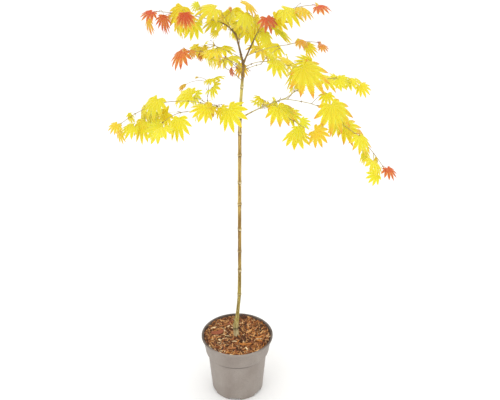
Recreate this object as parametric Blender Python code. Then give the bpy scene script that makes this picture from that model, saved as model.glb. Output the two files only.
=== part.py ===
# Potted full moon maple: a young tree with a long bare stem, two low boughs, a
# forked top and hanging fans of autumn leaves, in a round nursery pot.
# Metres, +Z up. The origin is the centre of the pot's flat underside, and the
# side of the crown that is fullest of leaves faces -Y.

import math
import random

import bmesh
import bpy
from mathutils import Matrix, Vector
from mathutils.bvhtree import BVHTree

UP = Vector((0, 0, 1))
FRONT = Vector((0, -1, 0))
GAP = 0.0003
POT_SMOOTH_ANGLE = 40
BARK_SMOOTH_ANGLE = 60
MATERIALS = {
    "pot plastic": {"colour": (0.38, 0.33, 0.29), "roughness": 0.55},
    "bark mulch": {"colour": (0.24, 0.10, 0.04), "roughness": 0.90},
    "bark": {"colour": (0.38, 0.26, 0.10), "roughness": 0.60},
    "leaf": {"colour": (0.85, 0.70, 0.05), "roughness": 0.50},
}

# Pot
POT_HEIGHT = 0.170
POT_RIM_RADIUS = 0.095
POT_RIM_HEIGHT = 0.005
POT_RIM_STANDS_OUT = 0.0025
POT_COLLAR_HEIGHT = 0.047
POT_COLLAR_FOOT_RADIUS = 0.0855
POT_SHOULDER_DROP = 0.008
POT_BODY_TOP_RADIUS = 0.0795
POT_BASE_RADIUS = 0.0695
POT_EDGE_ROUND = 0.004
POT_LIP_ROUND = 0.001
POT_WALL = 0.002
POT_FLOOR = 0.003
POT_SIDES = 36
DRAIN_NOTCHES = 6
FIRST_NOTCH_TURN = -96
DRAIN_NOTCH_WIDTH = 0.029
DRAIN_NOTCH_HEIGHT = 0.0025
DRAIN_NOTCH_INNER_RADIUS = 0.060
DRAIN_NOTCH_RUNS_OUT = 0.005

# Bark mulch that fills the pot
MULCH_BELOW_RIM = 0.008
MULCH_LEVEL = POT_HEIGHT - MULCH_BELOW_RIM

# Trunk: height above the mulch, lean to +X, radius
TRUNK_STATIONS = (
    (0.000, -0.0025, 0.0086),
    (0.009, -0.0027, 0.0070),
    (0.031, -0.0034, 0.0074),
    (0.051, -0.0015, 0.0064),
    (0.075, 0.0015, 0.0049),
    (0.145, 0.0068, 0.0046),
    (0.445, 0.0092, 0.0043),
    (0.620, 0.0113, 0.0041),
    (0.655, 0.0130, 0.0036),
    (0.745, 0.0200, 0.0031),
)
TRUNK_SIDES = 8
TRUNK_STEP = 0.025
TRUNK_NODES = (0.135, 0.209, 0.265, 0.328, 0.398, 0.457, 0.528, 0.583, 0.620, 0.695)
TRUNK_NODE_SWELL = 0.0006
TRUNK_NODE_LENGTH = 0.005
FLARE_RINGS = (0.005, 0.010)
LEAST_RING_SPACING = 0.004

# Boughs: each grows from a parent at a height on the trunk or at a fraction of
# another bough's length, and runs to its tip with a small arch
LIMB_SIDES = 6
LIMB_STEPS = 6
LIMBS = {
    "bough_lower_right": {
        "parent": "trunk", "at": 0.782, "tip": (0.118, 0.000, 0.831), "arch": 0.003,
        "radii": (0.0023, 0.0015)},
    "bough_lower_right_rising": {
        "parent": "bough_lower_right", "at": 1.0, "tip": (0.205, 0.058, 0.857), "arch": 0.006,
        "radii": (0.0014, 0.0011)},
    "bough_lower_right_outer": {
        "parent": "bough_lower_right", "at": 0.93, "tip": (0.175, -0.016, 0.822), "arch": 0.001,
        "radii": (0.0013, 0.0011)},
    "bough_lower_right_tail": {
        "parent": "bough_lower_right_outer", "at": 1.0, "tip": (0.245, -0.075, 0.789), "arch": 0.006,
        "radii": (0.0011, 0.0010)},
    "bough_lower_right_side": {
        "parent": "bough_lower_right", "at": 0.36, "tip": (0.078, -0.018, 0.812), "arch": 0.001,
        "radii": (0.0012, 0.0010)},
    "bough_front_right": {
        "parent": "bough_lower_right", "at": 0.50, "tip": (0.124, -0.060, 0.800), "arch": 0.002,
        "radii": (0.0013, 0.0010)},
    "bough_lower_left": {
        "parent": "trunk", "at": 0.784, "tip": (-0.054, -0.014, 0.816), "arch": 0.003,
        "radii": (0.0021, 0.0015)},
    "bough_lower_left_outer": {
        "parent": "bough_lower_left", "at": 1.0, "tip": (-0.125, -0.018, 0.829), "arch": 0.004,
        "radii": (0.0014, 0.0011)},
    "bough_lower_left_inner": {
        "parent": "bough_lower_left", "at": 0.90, "tip": (-0.105, -0.055, 0.816), "arch": -0.002,
        "radii": (0.0013, 0.0010)},
    "bough_left_rising": {
        "parent": "bough_lower_left_outer", "at": 0.12, "tip": (-0.063, 0.006, 0.831), "arch": 0.000,
        "radii": (0.0011, 0.0009)},
    "leader_left": {
        "parent": "trunk", "at": 1.0, "tip": (0.004, 0.000, 0.976), "arch": 0.000,
        "radii": (0.0026, 0.0018)},
    "leader_right": {
        "parent": "leader_left", "at": 0.03, "tip": (0.044, -0.012, 0.968), "arch": 0.001,
        "radii": (0.0020, 0.0014)},
    "bough_fork_right_low": {
        "parent": "trunk", "at": 0.900, "tip": (0.056, 0.002, 0.914), "arch": 0.002,
        "radii": (0.0014, 0.0011)},
    "bough_fork_right_high": {
        "parent": "leader_right", "at": 0.22, "tip": (0.118, 0.020, 0.948), "arch": 0.004,
        "radii": (0.0013, 0.0010)},
    "bough_fork_left_low": {
        "parent": "trunk", "at": 0.899, "tip": (-0.010, -0.010, 0.920), "arch": 0.001,
        "radii": (0.0014, 0.0011)},
    "bough_fork_left_high": {
        "parent": "leader_left", "at": 0.22, "tip": (-0.036, 0.028, 0.940), "arch": 0.001,
        "radii": (0.0012, 0.0010)},
    "bough_top_left": {
        "parent": "leader_left", "at": 1.0, "tip": (-0.029, -0.008, 1.004), "arch": 0.003,
        "radii": (0.0018, 0.0011)},
    "bough_top_right": {
        "parent": "leader_right", "at": 0.90, "tip": (0.074, 0.016, 1.006), "arch": 0.006,
        "radii": (0.0013, 0.0011)},
    "bough_back_top": {
        "parent": "leader_left", "at": 0.62, "tip": (0.014, 0.070, 0.968), "arch": 0.003,
        "radii": (0.0013, 0.0010)},
    "bough_back_mid_right": {
        "parent": "trunk", "at": 0.894, "tip": (0.060, 0.080, 0.888), "arch": 0.002,
        "radii": (0.0013, 0.0010)},
    "bough_back_mid_left": {
        "parent": "trunk", "at": 0.870, "tip": (-0.022, 0.080, 0.878), "arch": 0.003,
        "radii": (0.0013, 0.0010)},
    "bough_back_low_right": {
        "parent": "trunk", "at": 0.779, "tip": (0.128, 0.112, 0.794), "arch": 0.007,
        "radii": (0.0017, 0.0011)},
    "bough_back_low_left": {
        "parent": "trunk", "at": 0.772, "tip": (-0.070, 0.100, 0.784), "arch": 0.004,
        "radii": (0.0017, 0.0011)},
}

# Masses of foliage: each is a stem that grows on from its limb's tip, or from
# the trunk, to its own tip and carries its leaves in opposite pairs. A leaf is
# the length of its blade, its turn about the stem and its droop.
MASSES = {
    "foliage_lower_left_outer": {
        "limb": "bough_lower_left_outer", "tip": (-0.261, -0.044, 0.782), "arch": 0.014,
        "leaves": ((0.049, -48, 35), (0.064, 147, 45), (0.054, -174, 46), (0.042, 126, 46),
            (0.050, 102, 72), (0.041, -176, 11), (0.039, 156, 36), (0.025, -73, 29))},
    "foliage_lower_left_mid": {
        "limb": "bough_lower_left_inner", "tip": (-0.157, -0.087, 0.802), "arch": 0.006,
        "leaves": ((0.050, -116, 53), (0.063, 111, 33), (0.043, -105, 2), (0.052, 150, 8))},
    "foliage_lower_left_inner": {
        "limb": "bough_lower_left", "at": 0.80, "tip": (-0.039, -0.049, 0.826), "arch": 0.004,
        "leaves": ((0.026, 119, 24), (0.029, -138, 38), (0.040, 100, 2), (0.053, -115, 25))},
    "foliage_left_rising": {
        "limb": "bough_left_rising", "tip": (-0.059, 0.017, 0.862), "arch": 0.001,
        "leaves": ((0.020, 46, 2), (0.044, 171, 46), (0.022, 43, 2), (0.038, 145, 11))},
    "foliage_mid_left": {
        "limb": "bough_fork_left_low", "tip": (-0.102, -0.020, 0.944), "arch": 0.006,
        "leaves": ((0.038, -69, 2), (0.049, 109, 44), (0.033, 74, 63), (0.027, 143, 80),
            (0.035, 93, 61), (0.042, -109, 41))},
    "foliage_mid_left_high": {
        "limb": "bough_fork_left_high", "tip": (-0.067, 0.038, 0.942), "arch": 0.004,
        "leaves": ((0.040, 101, 63), (0.032, -147, 2), (0.035, 125, 43), (0.030, -86, 27))},
    "foliage_fork": {
        "limb": "trunk", "at": 0.884, "tip": (-0.021, 0.039, 0.916), "arch": 0.002,
        "leaves": ((0.034, 50, 79), (0.022, -113, 80), (0.030, 148, 66), (0.028, -177, 66))},
    "foliage_top_left": {
        "limb": "bough_top_left", "tip": (-0.170, -0.008, 1.027), "arch": 0.004,
        "leaves": ((0.030, 113, 68), (0.042, -138, 32), (0.049, 159, 79), (0.048, -52, 58),
            (0.041, -127, 77), (0.024, 138, 80), (0.029, -102, 14), (0.042, 162, 80))},
    "foliage_top_centre_left": {
        "limb": "leader_left", "at": 0.80, "tip": (-0.024, 0.017, 1.012), "arch": 0.001,
        "leaves": ((0.045, 20, 80), (0.035, 118, 58), (0.040, -113, 5), (0.046, 63, 36),
            (0.054, -76, 2), (0.073, 120, 72))},
    "foliage_top_centre": {
        "limb": "leader_left", "at": 0.78, "tip": (0.033, 0.003, 1.019), "arch": 0.004,
        "leaves": ((0.030, 51, 2), (0.035, -102, 6), (0.045, 53, 35), (0.045, -155, 49),
            (0.033, 4, 3), (0.046, 62, 25))},
    "foliage_top_right_inner": {
        "limb": "leader_right", "at": 1.0, "tip": (0.067, -0.018, 1.010), "arch": 0.002,
        "leaves": ((0.039, 138, 76), (0.041, -97, 53), (0.036, 96, 41), (0.040, -151, 34))},
    "foliage_top_right": {
        "limb": "bough_top_right", "tip": (0.172, 0.002, 1.039), "arch": 0.006,
        "leaves": ((0.049, 80, 20), (0.039, -97, 4), (0.038, 114, 22), (0.036, -139, 70),
            (0.031, 108, 2), (0.028, -116, 16))},
    "foliage_right_upper": {
        "limb": "bough_fork_right_high", "tip": (0.188, 0.022, 0.953), "arch": 0.004,
        "leaves": ((0.024, 69, 8), (0.029, -62, 80), (0.020, 129, 15), (0.024, -100, 73))},
    "foliage_mid_right": {
        "limb": "bough_fork_right_low", "tip": (0.121, 0.011, 0.903), "arch": 0.004,
        "leaves": ((0.043, 96, 27), (0.049, -98, 6), (0.073, 80, 25), (0.074, -122, 67))},
    "foliage_mid_right_outer": {
        "limb": "bough_lower_right_rising", "tip": (0.285, 0.071, 0.841), "arch": 0.008,
        "leaves": ((0.034, 96, 14), (0.044, -137, 2), (0.034, 77, 2), (0.046, -107, 17),
            (0.032, 85, 16), (0.032, -65, 9))},
    "foliage_lower_right_inner": {
        "limb": "bough_lower_right_side", "tip": (0.106, -0.026, 0.819), "arch": 0.002,
        "leaves": ((0.052, 97, 26), (0.049, -140, 76), (0.028, 101, 20), (0.038, 176, 11))},
    "foliage_lower_right_upper": {
        "limb": "bough_lower_right", "at": 0.44, "tip": (0.070, 0.036, 0.812), "arch": 0.001,
        "leaves": ((0.034, 165, 2), (0.028, -113, 15), (0.031, 118, 43), (0.027, -101, 27))},
    "foliage_front_right": {
        "limb": "bough_front_right", "tip": (0.150, -0.111, 0.799), "arch": 0.002,
        "leaves": ((0.030, -107, 7), (0.045, 158, 9), (0.041, 81, 64), (0.047, -124, 31))},
    "foliage_lower_right_mid": {
        "limb": "bough_lower_right_tail", "at": 0.12, "tip": (0.233, -0.039, 0.812), "arch": 0.003,
        "leaves": ((0.066, 77, 38), (0.066, -155, 58), (0.056, -166, 10), (0.038, -111, 34))},
    "foliage_lower_right_tail": {
        "limb": "bough_lower_right_tail", "tip": (0.333, -0.110, 0.704), "arch": 0.010,
        "leaves": ((0.044, 77, 32), (0.047, -116, 36), (0.034, 108, 80), (0.044, -174, 17),
            (0.042, 107, 17), (0.055, -125, 80), (0.034, 179, 13), (0.028, 53, 24))},
    "foliage_back_low_right": {
        "limb": "bough_back_low_right", "tip": (0.186, 0.164, 0.829), "arch": 0.006,
        "leaves": ((0.032, 4, 2), (0.036, -56, 50), (0.056, 107, 7), (0.051, -108, 5))},
    "foliage_back_low_left": {
        "limb": "bough_back_low_left", "tip": (-0.115, 0.176, 0.773), "arch": 0.006,
        "leaves": ((0.056, 157, 31), (0.049, -72, 3), (0.049, 70, 52), (0.045, -47, 23))},
    "foliage_back_mid_right": {
        "limb": "bough_back_mid_right", "tip": (0.107, 0.164, 0.906), "arch": 0.005,
        "leaves": ((0.052, 139, 9), (0.054, -69, 26), (0.053, 176, 61), (0.063, -103, 49))},
    "foliage_back_mid_left": {
        "limb": "bough_back_mid_left", "tip": (-0.047, 0.146, 0.910), "arch": 0.005,
        "leaves": ((0.062, 130, 19), (0.043, -45, 42), (0.051, 121, 32), (0.039, -151, 68))},
    "foliage_back_top": {
        "limb": "bough_back_top", "tip": (0.005, 0.174, 0.970), "arch": 0.006,
        "leaves": ((0.057, 147, 46), (0.053, -105, 15), (0.047, 120, 12), (0.061, -39, 46),
            (0.036, 91, 20), (0.035, -160, 80))},
}
STEM_SIDES = 4
STEM_STEPS = 5
STEM_RADII = (0.0011, 0.0008)
FIRST_PAIR_AT = 0.25
LAST_PAIR_AT = 0.97
STEM_IS_UPRIGHT = 0.3

# Leaves: lobes spread like fingers either side of the midrib, and the blade is
# an umbrella that is thickest where its stalk meets it
LOBE_ANGLES = (0, 26, 52, 79, 108)
LOBE_LENGTHS = (1.0, 0.98, 0.92, 0.78, 0.46)
SINUS_DEPTH = 0.61
BASE_NOTCH = 0.14
BLADE_THICKNESS = 0.045
UMBRELLA = 0.24
TIPS_HANG = 0.13
STALK_LENGTH = 0.62
STALK_SIDES = 3
STALK_RADIUS = 0.013
STALK_LEAST_RADIUS = 0.0006
STALK_SINKS_IN = 0.30
STALK_SIDEWAYS = 0.85
STALK_FORWARD = 0.60
STALK_LIFT = 0.40
STALK_SAG = 0.14
STALK_LENGTH_VARIES = (0.85, 1.20)
LEAF_LENGTH_VARIES = (0.92, 1.08)
TURN_VARIES = 10
DROOP_VARIES = 6
ROLL_VARIES = 16
CROWN_AXIS = 0.015
OUTWARD_PULL = 0.4
SHADED_LEAF_LOSS = 0.32
FOLDS_ABOVE_DROOP = 42
FOLD_PER_DEGREE = 0.015
LEAF_TRIES = 24
EACH_TRY_LOOSER = 0.12
EACH_TRY_LIFTS = 0.06
LEAF_CLEARANCE = 0.0008
CLEAR_OF_OWN_STEM = 1.5
SPACE_AROUND_STEM = 0.15
LIGHT_FROM_ABOVE = 0.55
LIGHT_FROM_OUTSIDE = 0.35
LIGHT_FROM_FRONT = 0.55


def clear_scene():
    for old in list(bpy.data.objects):
        bpy.data.objects.remove(old, do_unlink=True)


def principled(name):
    material = bpy.data.materials.new(name)
    material.use_nodes = True
    shader = material.node_tree.nodes["Principled BSDF"]
    shader.inputs["Base Color"].default_value = (*MATERIALS[name]["colour"], 1)
    shader.inputs["Roughness"].default_value = MATERIALS[name]["roughness"]
    return material


def add_object(name, points, faces, material=None, smooth_angle=None):
    mesh = bpy.data.meshes.new(name)
    mesh.from_pydata([tuple(point) for point in points], [], faces)
    mesh.update()
    shape = bmesh.new()
    shape.from_mesh(mesh)
    bmesh.ops.recalc_face_normals(shape, faces=shape.faces)
    shape.to_mesh(mesh)
    shape.free()
    thing = bpy.data.objects.new(name, mesh)
    bpy.context.scene.collection.objects.link(thing)
    if material:
        mesh.materials.append(material)
    if smooth_angle:
        mesh.shade_smooth()
        mesh.set_sharp_from_angle(angle=math.radians(smooth_angle))
    return thing


# Turned shapes: a closed profile of radius and height, swept round Z


def turned(name, profile, sides, material):
    points = []
    rings = []
    for radius, height in profile:
        if radius == 0:
            rings.append([len(points)])
            points.append(Vector((0, 0, height)))
            continue
        rings.append([len(points) + side for side in range(sides)])
        for side in range(sides):
            angle = math.tau * side / sides
            points.append(Vector((radius * math.cos(angle), radius * math.sin(angle), height)))
    faces = []
    for lower, upper in zip(rings, rings[1:]):
        for side in range(sides):
            after = (side + 1) % sides
            if len(lower) == 1:
                faces.append((lower[0], upper[side], upper[after]))
            elif len(upper) == 1:
                faces.append((lower[side], lower[after], upper[0]))
            else:
                faces.append((lower[side], lower[after], upper[after], upper[side]))
    return add_object(name, points, faces, material, POT_SMOOTH_ANGLE)


def pot_inner_radius(height):
    shoulder = POT_HEIGHT - POT_COLLAR_HEIGHT
    body_top = shoulder - POT_SHOULDER_DROP
    if height < body_top:
        return between(POT_BASE_RADIUS, POT_BODY_TOP_RADIUS, height / body_top) - POT_WALL
    if height < shoulder:
        share = (height - body_top) / POT_SHOULDER_DROP
        return between(POT_BODY_TOP_RADIUS, POT_COLLAR_FOOT_RADIUS, share) - POT_WALL
    share = (height - shoulder) / POT_COLLAR_HEIGHT
    collar_top = POT_RIM_RADIUS - POT_RIM_STANDS_OUT
    return between(POT_COLLAR_FOOT_RADIUS, collar_top, share) - POT_WALL


def make_pot(material):
    shoulder = POT_HEIGHT - POT_COLLAR_HEIGHT
    body_top = shoulder - POT_SHOULDER_DROP
    rim_foot = POT_HEIGHT - POT_RIM_HEIGHT
    round_step = POT_EDGE_ROUND * (1 - math.sqrt(0.5))
    profile = [
        (0, 0),
        (POT_BASE_RADIUS - POT_EDGE_ROUND, 0),
        (POT_BASE_RADIUS - round_step, round_step),
        (POT_BASE_RADIUS, POT_EDGE_ROUND),
        (POT_BODY_TOP_RADIUS, body_top),
        (POT_COLLAR_FOOT_RADIUS, shoulder),
        (pot_inner_radius(rim_foot) + POT_WALL, rim_foot),
        (POT_RIM_RADIUS, rim_foot),
        (POT_RIM_RADIUS, POT_HEIGHT - POT_LIP_ROUND),
        (POT_RIM_RADIUS - POT_LIP_ROUND, POT_HEIGHT),
        (pot_inner_radius(POT_HEIGHT), POT_HEIGHT),
        (pot_inner_radius(shoulder), shoulder),
        (pot_inner_radius(body_top), body_top),
        (pot_inner_radius(POT_FLOOR), POT_FLOOR),
        (0, POT_FLOOR),
    ]
    pot = turned("pot", profile, POT_SIDES, material)
    cutters = bpy.data.collections.new("drain notches")
    for notch in range(DRAIN_NOTCHES):
        reach = POT_BASE_RADIUS + DRAIN_NOTCH_RUNS_OUT - DRAIN_NOTCH_INNER_RADIUS
        bpy.ops.mesh.primitive_cube_add(size=1)
        cutter = bpy.context.object
        cutter.scale = (reach, DRAIN_NOTCH_WIDTH, 2 * DRAIN_NOTCH_HEIGHT)
        bpy.ops.object.transform_apply(scale=True)
        angle = math.radians(FIRST_NOTCH_TURN) + math.tau * notch / DRAIN_NOTCHES
        middle = DRAIN_NOTCH_INNER_RADIUS + reach / 2
        cutter.location = (middle * math.cos(angle), middle * math.sin(angle), 0)
        cutter.rotation_euler.z = angle
        cutters.objects.link(cutter)
    apply_boolean(pot, cutters, "DIFFERENCE")


def make_mulch(material):
    shoulder = POT_HEIGHT - POT_COLLAR_HEIGHT
    body_top = shoulder - POT_SHOULDER_DROP
    bottom = POT_FLOOR + GAP
    profile = [
        (0, bottom),
        (pot_inner_radius(bottom) - GAP, bottom),
        (pot_inner_radius(body_top) - 2 * GAP, body_top),
        (pot_inner_radius(shoulder) - 2 * GAP, shoulder),
        (pot_inner_radius(MULCH_LEVEL) - 2 * GAP, MULCH_LEVEL),
        (0, MULCH_LEVEL),
    ]
    turned("mulch", profile, POT_SIDES, material)


def apply_boolean(target, collection, operation):
    boolean = target.modifiers.new("join or cut", "BOOLEAN")
    boolean.operation = operation
    boolean.operand_type = "COLLECTION"
    boolean.collection = collection
    boolean.solver = "EXACT"
    depsgraph = bpy.context.evaluated_depsgraph_get()
    result = bpy.data.meshes.new_from_object(target.evaluated_get(depsgraph))
    target.modifiers.clear()
    target.data = result
    for used in list(collection.objects):
        bpy.data.objects.remove(used, do_unlink=True)
    bpy.data.collections.remove(collection)


# Limbs: tapering tubes along arched lines


def tube(points, radii, sides):
    vertices = []
    behind = [points[0], *points[:-1]]
    beyond = [*points[1:], points[-1]]
    ways = [(after - before).normalized() for before, after in zip(behind, beyond)]
    side_way = ways[0].orthogonal().normalized()
    for point, way, radius in zip(points, ways, radii):
        side_way = (side_way - way * side_way.dot(way)).normalized()
        other_way = way.cross(side_way)
        for side in range(sides):
            angle = math.tau * side / sides
            vertices.append(point + radius * (side_way * math.cos(angle) + other_way * math.sin(angle)))
    faces = [tuple(reversed(range(sides)))]
    for ring in range(len(points) - 1):
        low = ring * sides
        for side in range(sides):
            after = (side + 1) % sides
            faces.append((low + side, low + after, low + sides + after, low + sides + side))
    faces.append(tuple(range(len(vertices) - sides, len(vertices))))
    return vertices, faces


def arched_line(start, tip, arch, steps):
    shares = [step / steps for step in range(steps + 1)]
    return [start.lerp(tip, share) + UP * arch * 4 * share * (1 - share) for share in shares]


def between(low, high, share):
    return low + (high - low) * share


def trunk_at(height):
    # smooth line through the stations: where the trunk is and how thick
    above = height - MULCH_LEVEL
    stations = TRUNK_STATIONS
    place = max(i for i in range(len(stations) - 1) if stations[i][0] <= above + 1e-9)
    before = stations[max(place - 1, 0)]
    low = stations[place]
    high = stations[place + 1]
    beyond = stations[min(place + 2, len(stations) - 1)]
    share = (above - low[0]) / (high[0] - low[0])
    values = []
    for column in (1, 2):
        slope_low = (high[column] - before[column]) / (high[0] - before[0]) * (high[0] - low[0])
        slope_high = (beyond[column] - low[column]) / (beyond[0] - low[0]) * (high[0] - low[0])
        square = share * share
        cube = square * share
        values.append(
            (2 * cube - 3 * square + 1) * low[column] + (cube - 2 * square + share) * slope_low
            + (3 * square - 2 * cube) * high[column] + (cube - square) * slope_high
        )
    lean, radius = values
    for node in TRUNK_NODES:
        radius += TRUNK_NODE_SWELL * math.exp(-(((above - node) / TRUNK_NODE_LENGTH) ** 2))
    return Vector((lean, 0, height)), radius


def trunk_line():
    top = MULCH_LEVEL + TRUNK_STATIONS[-1][0]
    bottom = MULCH_LEVEL + GAP
    steps = round((top - bottom) / TRUNK_STEP)
    heights = [bottom + (top - bottom) * step / steps for step in range(steps + 1)]
    heights += [MULCH_LEVEL + node for node in TRUNK_NODES]
    heights += [bottom + ring for ring in FLARE_RINGS]
    heights.sort()
    spaced = [heights[0]]
    for height in heights[1:]:
        if height - spaced[-1] > LEAST_RING_SPACING:
            spaced.append(height)
    return [trunk_at(height) for height in spaced]


def grow_from(parent, at, tip, arch, radius):
    # the first point of a limb that grows from a parent and stays clear of it
    points, radii = parent
    length = len(points) - 1
    place = min(at * length, length - 1e-6)
    index = int(place)
    share = place - index
    base = points[index].lerp(points[index + 1], share)
    parent_radius = between(radii[index], radii[index + 1], share)
    parent_way = (points[index + 1] - points[index]).normalized()
    way = (tip - base + 4 * arch * UP).normalized()
    turn = way.angle(parent_way)
    if at == 1:
        return base + way * (GAP + radius * math.sin(turn)) / math.cos(turn)
    return base + way * (parent_radius + GAP + radius * abs(math.cos(turn))) / math.sin(turn)


def share_of_trunk(line, height):
    # the place along the trunk's points that a height stands for
    points = line[0]
    for index in range(len(points) - 1):
        if points[index].z <= height <= points[index + 1].z:
            share = (height - points[index].z) / (points[index + 1].z - points[index].z)
            return (index + share) / (len(points) - 1)
    return 1


def grow_limb(lines, plan, steps, radii):
    parent = lines[plan["parent"]]
    at = plan.get("at", 1)
    if plan["parent"] == "trunk" and at != 1:
        at = share_of_trunk(parent, at)
    tip = Vector(plan["tip"])
    start = grow_from(parent, at, tip, plan["arch"], radii[0])
    points = arched_line(start, tip, plan["arch"], steps)
    return points, [between(*radii, step / steps) for step in range(steps + 1)]


# Leaves


def blade_outline():
    # angle from the midrib and distance from the stalk, round the whole blade
    half = []
    for place, (angle, reach) in enumerate(zip(LOBE_ANGLES, LOBE_LENGTHS)):
        half.append((angle, reach))
        if place + 1 < len(LOBE_ANGLES):
            notch = (angle + LOBE_ANGLES[place + 1]) / 2
            half.append((notch, SINUS_DEPTH * (reach + LOBE_LENGTHS[place + 1]) / 2))
    left = [(-angle, reach) for angle, reach in half[:0:-1]]
    return left + half + [(180, BASE_NOTCH)]


def blade(pose, length, thickness):
    base, midrib, across, facing, spread = pose
    points = [base + facing * thickness / 2, base - facing * thickness / 2]
    outline = blade_outline()
    for angle, reach in outline:
        turn = math.radians(angle) * (spread if abs(angle) < 180 else 1)
        way = midrib * math.cos(turn) + across * math.sin(turn)
        bend = facing * UMBRELLA + UP * TIPS_HANG
        points.append(base + length * (way * reach - bend * reach * reach))
    faces = []
    for place in range(len(outline)):
        one = 2 + place
        two = 2 + (place + 1) % len(outline)
        faces.append((0, one, two))
        faces.append((1, two, one))
    return points, faces


def leaf_node(points, number, leaf_count):
    # where a leaf's pair sits on the stem, and which way the stem runs there
    pair_share = (number // 2) / (leaf_count // 2 - 1)
    along = between(FIRST_PAIR_AT, LAST_PAIR_AT, pair_share) * (len(points) - 1)
    index = int(along)
    node = points[index].lerp(points[index + 1], along - index)
    return node, (points[index + 1] - points[index]).normalized()


def leaf_pose(node, stem_way, plan, loose, rng):
    # the stalk leaves the stem sideways, and the blade hangs outward from it
    length, turn, droop = plan
    top_side = UP - stem_way * UP.dot(stem_way)
    if top_side.length < STEM_IS_UPRIGHT:
        top_side = FRONT - stem_way * FRONT.dot(stem_way)
    turn += rng.uniform(-TURN_VARIES, TURN_VARIES) * loose
    side = Matrix.Rotation(math.radians(turn), 3, stem_way) @ top_side.normalized()
    length *= (1 - SHADED_LEAF_LOSS * max(0, side.y)) * rng.uniform(*LEAF_LENGTH_VARIES)
    lift = STALK_LIFT + EACH_TRY_LIFTS * (loose - 1) * rng.uniform(-1, 2)
    stalk_way = (STALK_SIDEWAYS * side + STALK_FORWARD * stem_way + lift * UP).normalized()
    stalk = STALK_LENGTH * length * rng.uniform(*STALK_LENGTH_VARIES)
    middle = node + stalk_way * stalk / 2 - UP * stalk * STALK_SAG / 4
    base = node + stalk_way * stalk - UP * stalk * STALK_SAG
    outward = node - Vector((CROWN_AXIS, 0, node.z))
    outward.z = 0
    outward = outward.normalized()
    ahead = Vector((stalk_way.x, stalk_way.y, 0))
    ahead = (ahead + outward * OUTWARD_PULL).normalized()
    droop += rng.uniform(-DROOP_VARIES, DROOP_VARIES) * loose
    spread = 1 - FOLD_PER_DEGREE * max(0, droop - FOLDS_ABOVE_DROOP)
    droop = math.radians(droop)
    midrib = ahead * math.cos(droop) - UP * math.sin(droop)
    light = UP * LIGHT_FROM_ABOVE + outward * LIGHT_FROM_OUTSIDE + FRONT * LIGHT_FROM_FRONT
    facing = (light - midrib * light.dot(midrib)).normalized()
    roll = math.radians(rng.uniform(-ROLL_VARIES, ROLL_VARIES))
    facing = Matrix.Rotation(roll, 3, midrib) @ facing
    return [node, middle, base], (base, midrib, midrib.cross(facing), facing, spread), length


def tree_of(shape):
    points, faces = shape
    return BVHTree.FromPolygons([tuple(point) for point in points], faces)


def leaf_fits(stalk, pose, length, space, obstacles, own):
    middle, radius = space
    thick = BLADE_THICKNESS * length + 2 * LEAF_CLEARANCE
    swollen = blade(pose, length + LEAF_CLEARANCE, thick)
    if any((point - middle).length > radius for point in swollen[0]):
        return False
    swept = tree_of(swollen)
    stalk_radius = STALK_LEAST_RADIUS + LEAF_CLEARANCE
    whole = tree_of(tube(stalk, [stalk_radius] * 3, STALK_SIDES))
    ahead = tree_of(tube([stalk[0].lerp(stalk[1], 0.5), *stalk[1:]], [stalk_radius] * 3, STALK_SIDES))
    if any(swept.overlap(other) or whole.overlap(other) for other in obstacles):
        return False
    return not any(swept.overlap(other) or ahead.overlap(other) for other in own)


def plan_leaves(name, plan, stem, obstacles):
    # every leaf of a mass that finds room: its stalk, its pose and its length
    points, radii = stem
    middle = (points[0] + points[-1]) / 2
    space = (middle, (points[-1] - points[0]).length / 2 + SPACE_AROUND_STEM)
    own = [tree_of(tube(points, [radius * CLEAR_OF_OWN_STEM for radius in radii], STEM_SIDES))]
    leaves = []
    for number, plan_of_leaf in enumerate(plan["leaves"]):
        node, stem_way = leaf_node(points, number, len(plan["leaves"]))
        for attempt in range(LEAF_TRIES):
            rng = random.Random(f"{name} {number} {attempt}")
            loose = 1 + EACH_TRY_LOOSER * attempt
            stalk, pose, size = leaf_pose(node, stem_way, plan_of_leaf, loose, rng)
            if leaf_fits(stalk, pose, size, space, obstacles, own):
                leaves.append((stalk, pose, size))
                own.append(tree_of(blade(pose, size, BLADE_THICKNESS * size)))
                own.append(tree_of(tube(stalk[1:], [STALK_LEAST_RADIUS] * 2, STALK_SIDES)))
                break
        else:
            print(f"{name}: no room for leaf {number}")
    return leaves


def make_mass(name, plan, stem, leaves, material):
    points, radii = stem
    mass = add_object(name, *tube(points, radii, STEM_SIDES), material)
    parts = bpy.data.collections.new(f"{name} leaves")
    for number, (stalk, pose, length) in enumerate(leaves):
        radius = max(STALK_LEAST_RADIUS, STALK_RADIUS * length)
        thickness = BLADE_THICKNESS * length
        underside = pose[0] - pose[3] * thickness / 2
        inside = underside + (underside - stalk[1]).normalized() * thickness * STALK_SINKS_IN
        shapes = (
            tube([*stalk[:2], inside], [radius] * 3, STALK_SIDES),
            blade(pose, length, thickness),
        )
        for shape in shapes:
            piece = add_object(f"{name} piece {number}", *shape)
            bpy.context.scene.collection.objects.unlink(piece)
            parts.objects.link(piece)
    apply_boolean(mass, parts, "UNION")


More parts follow.
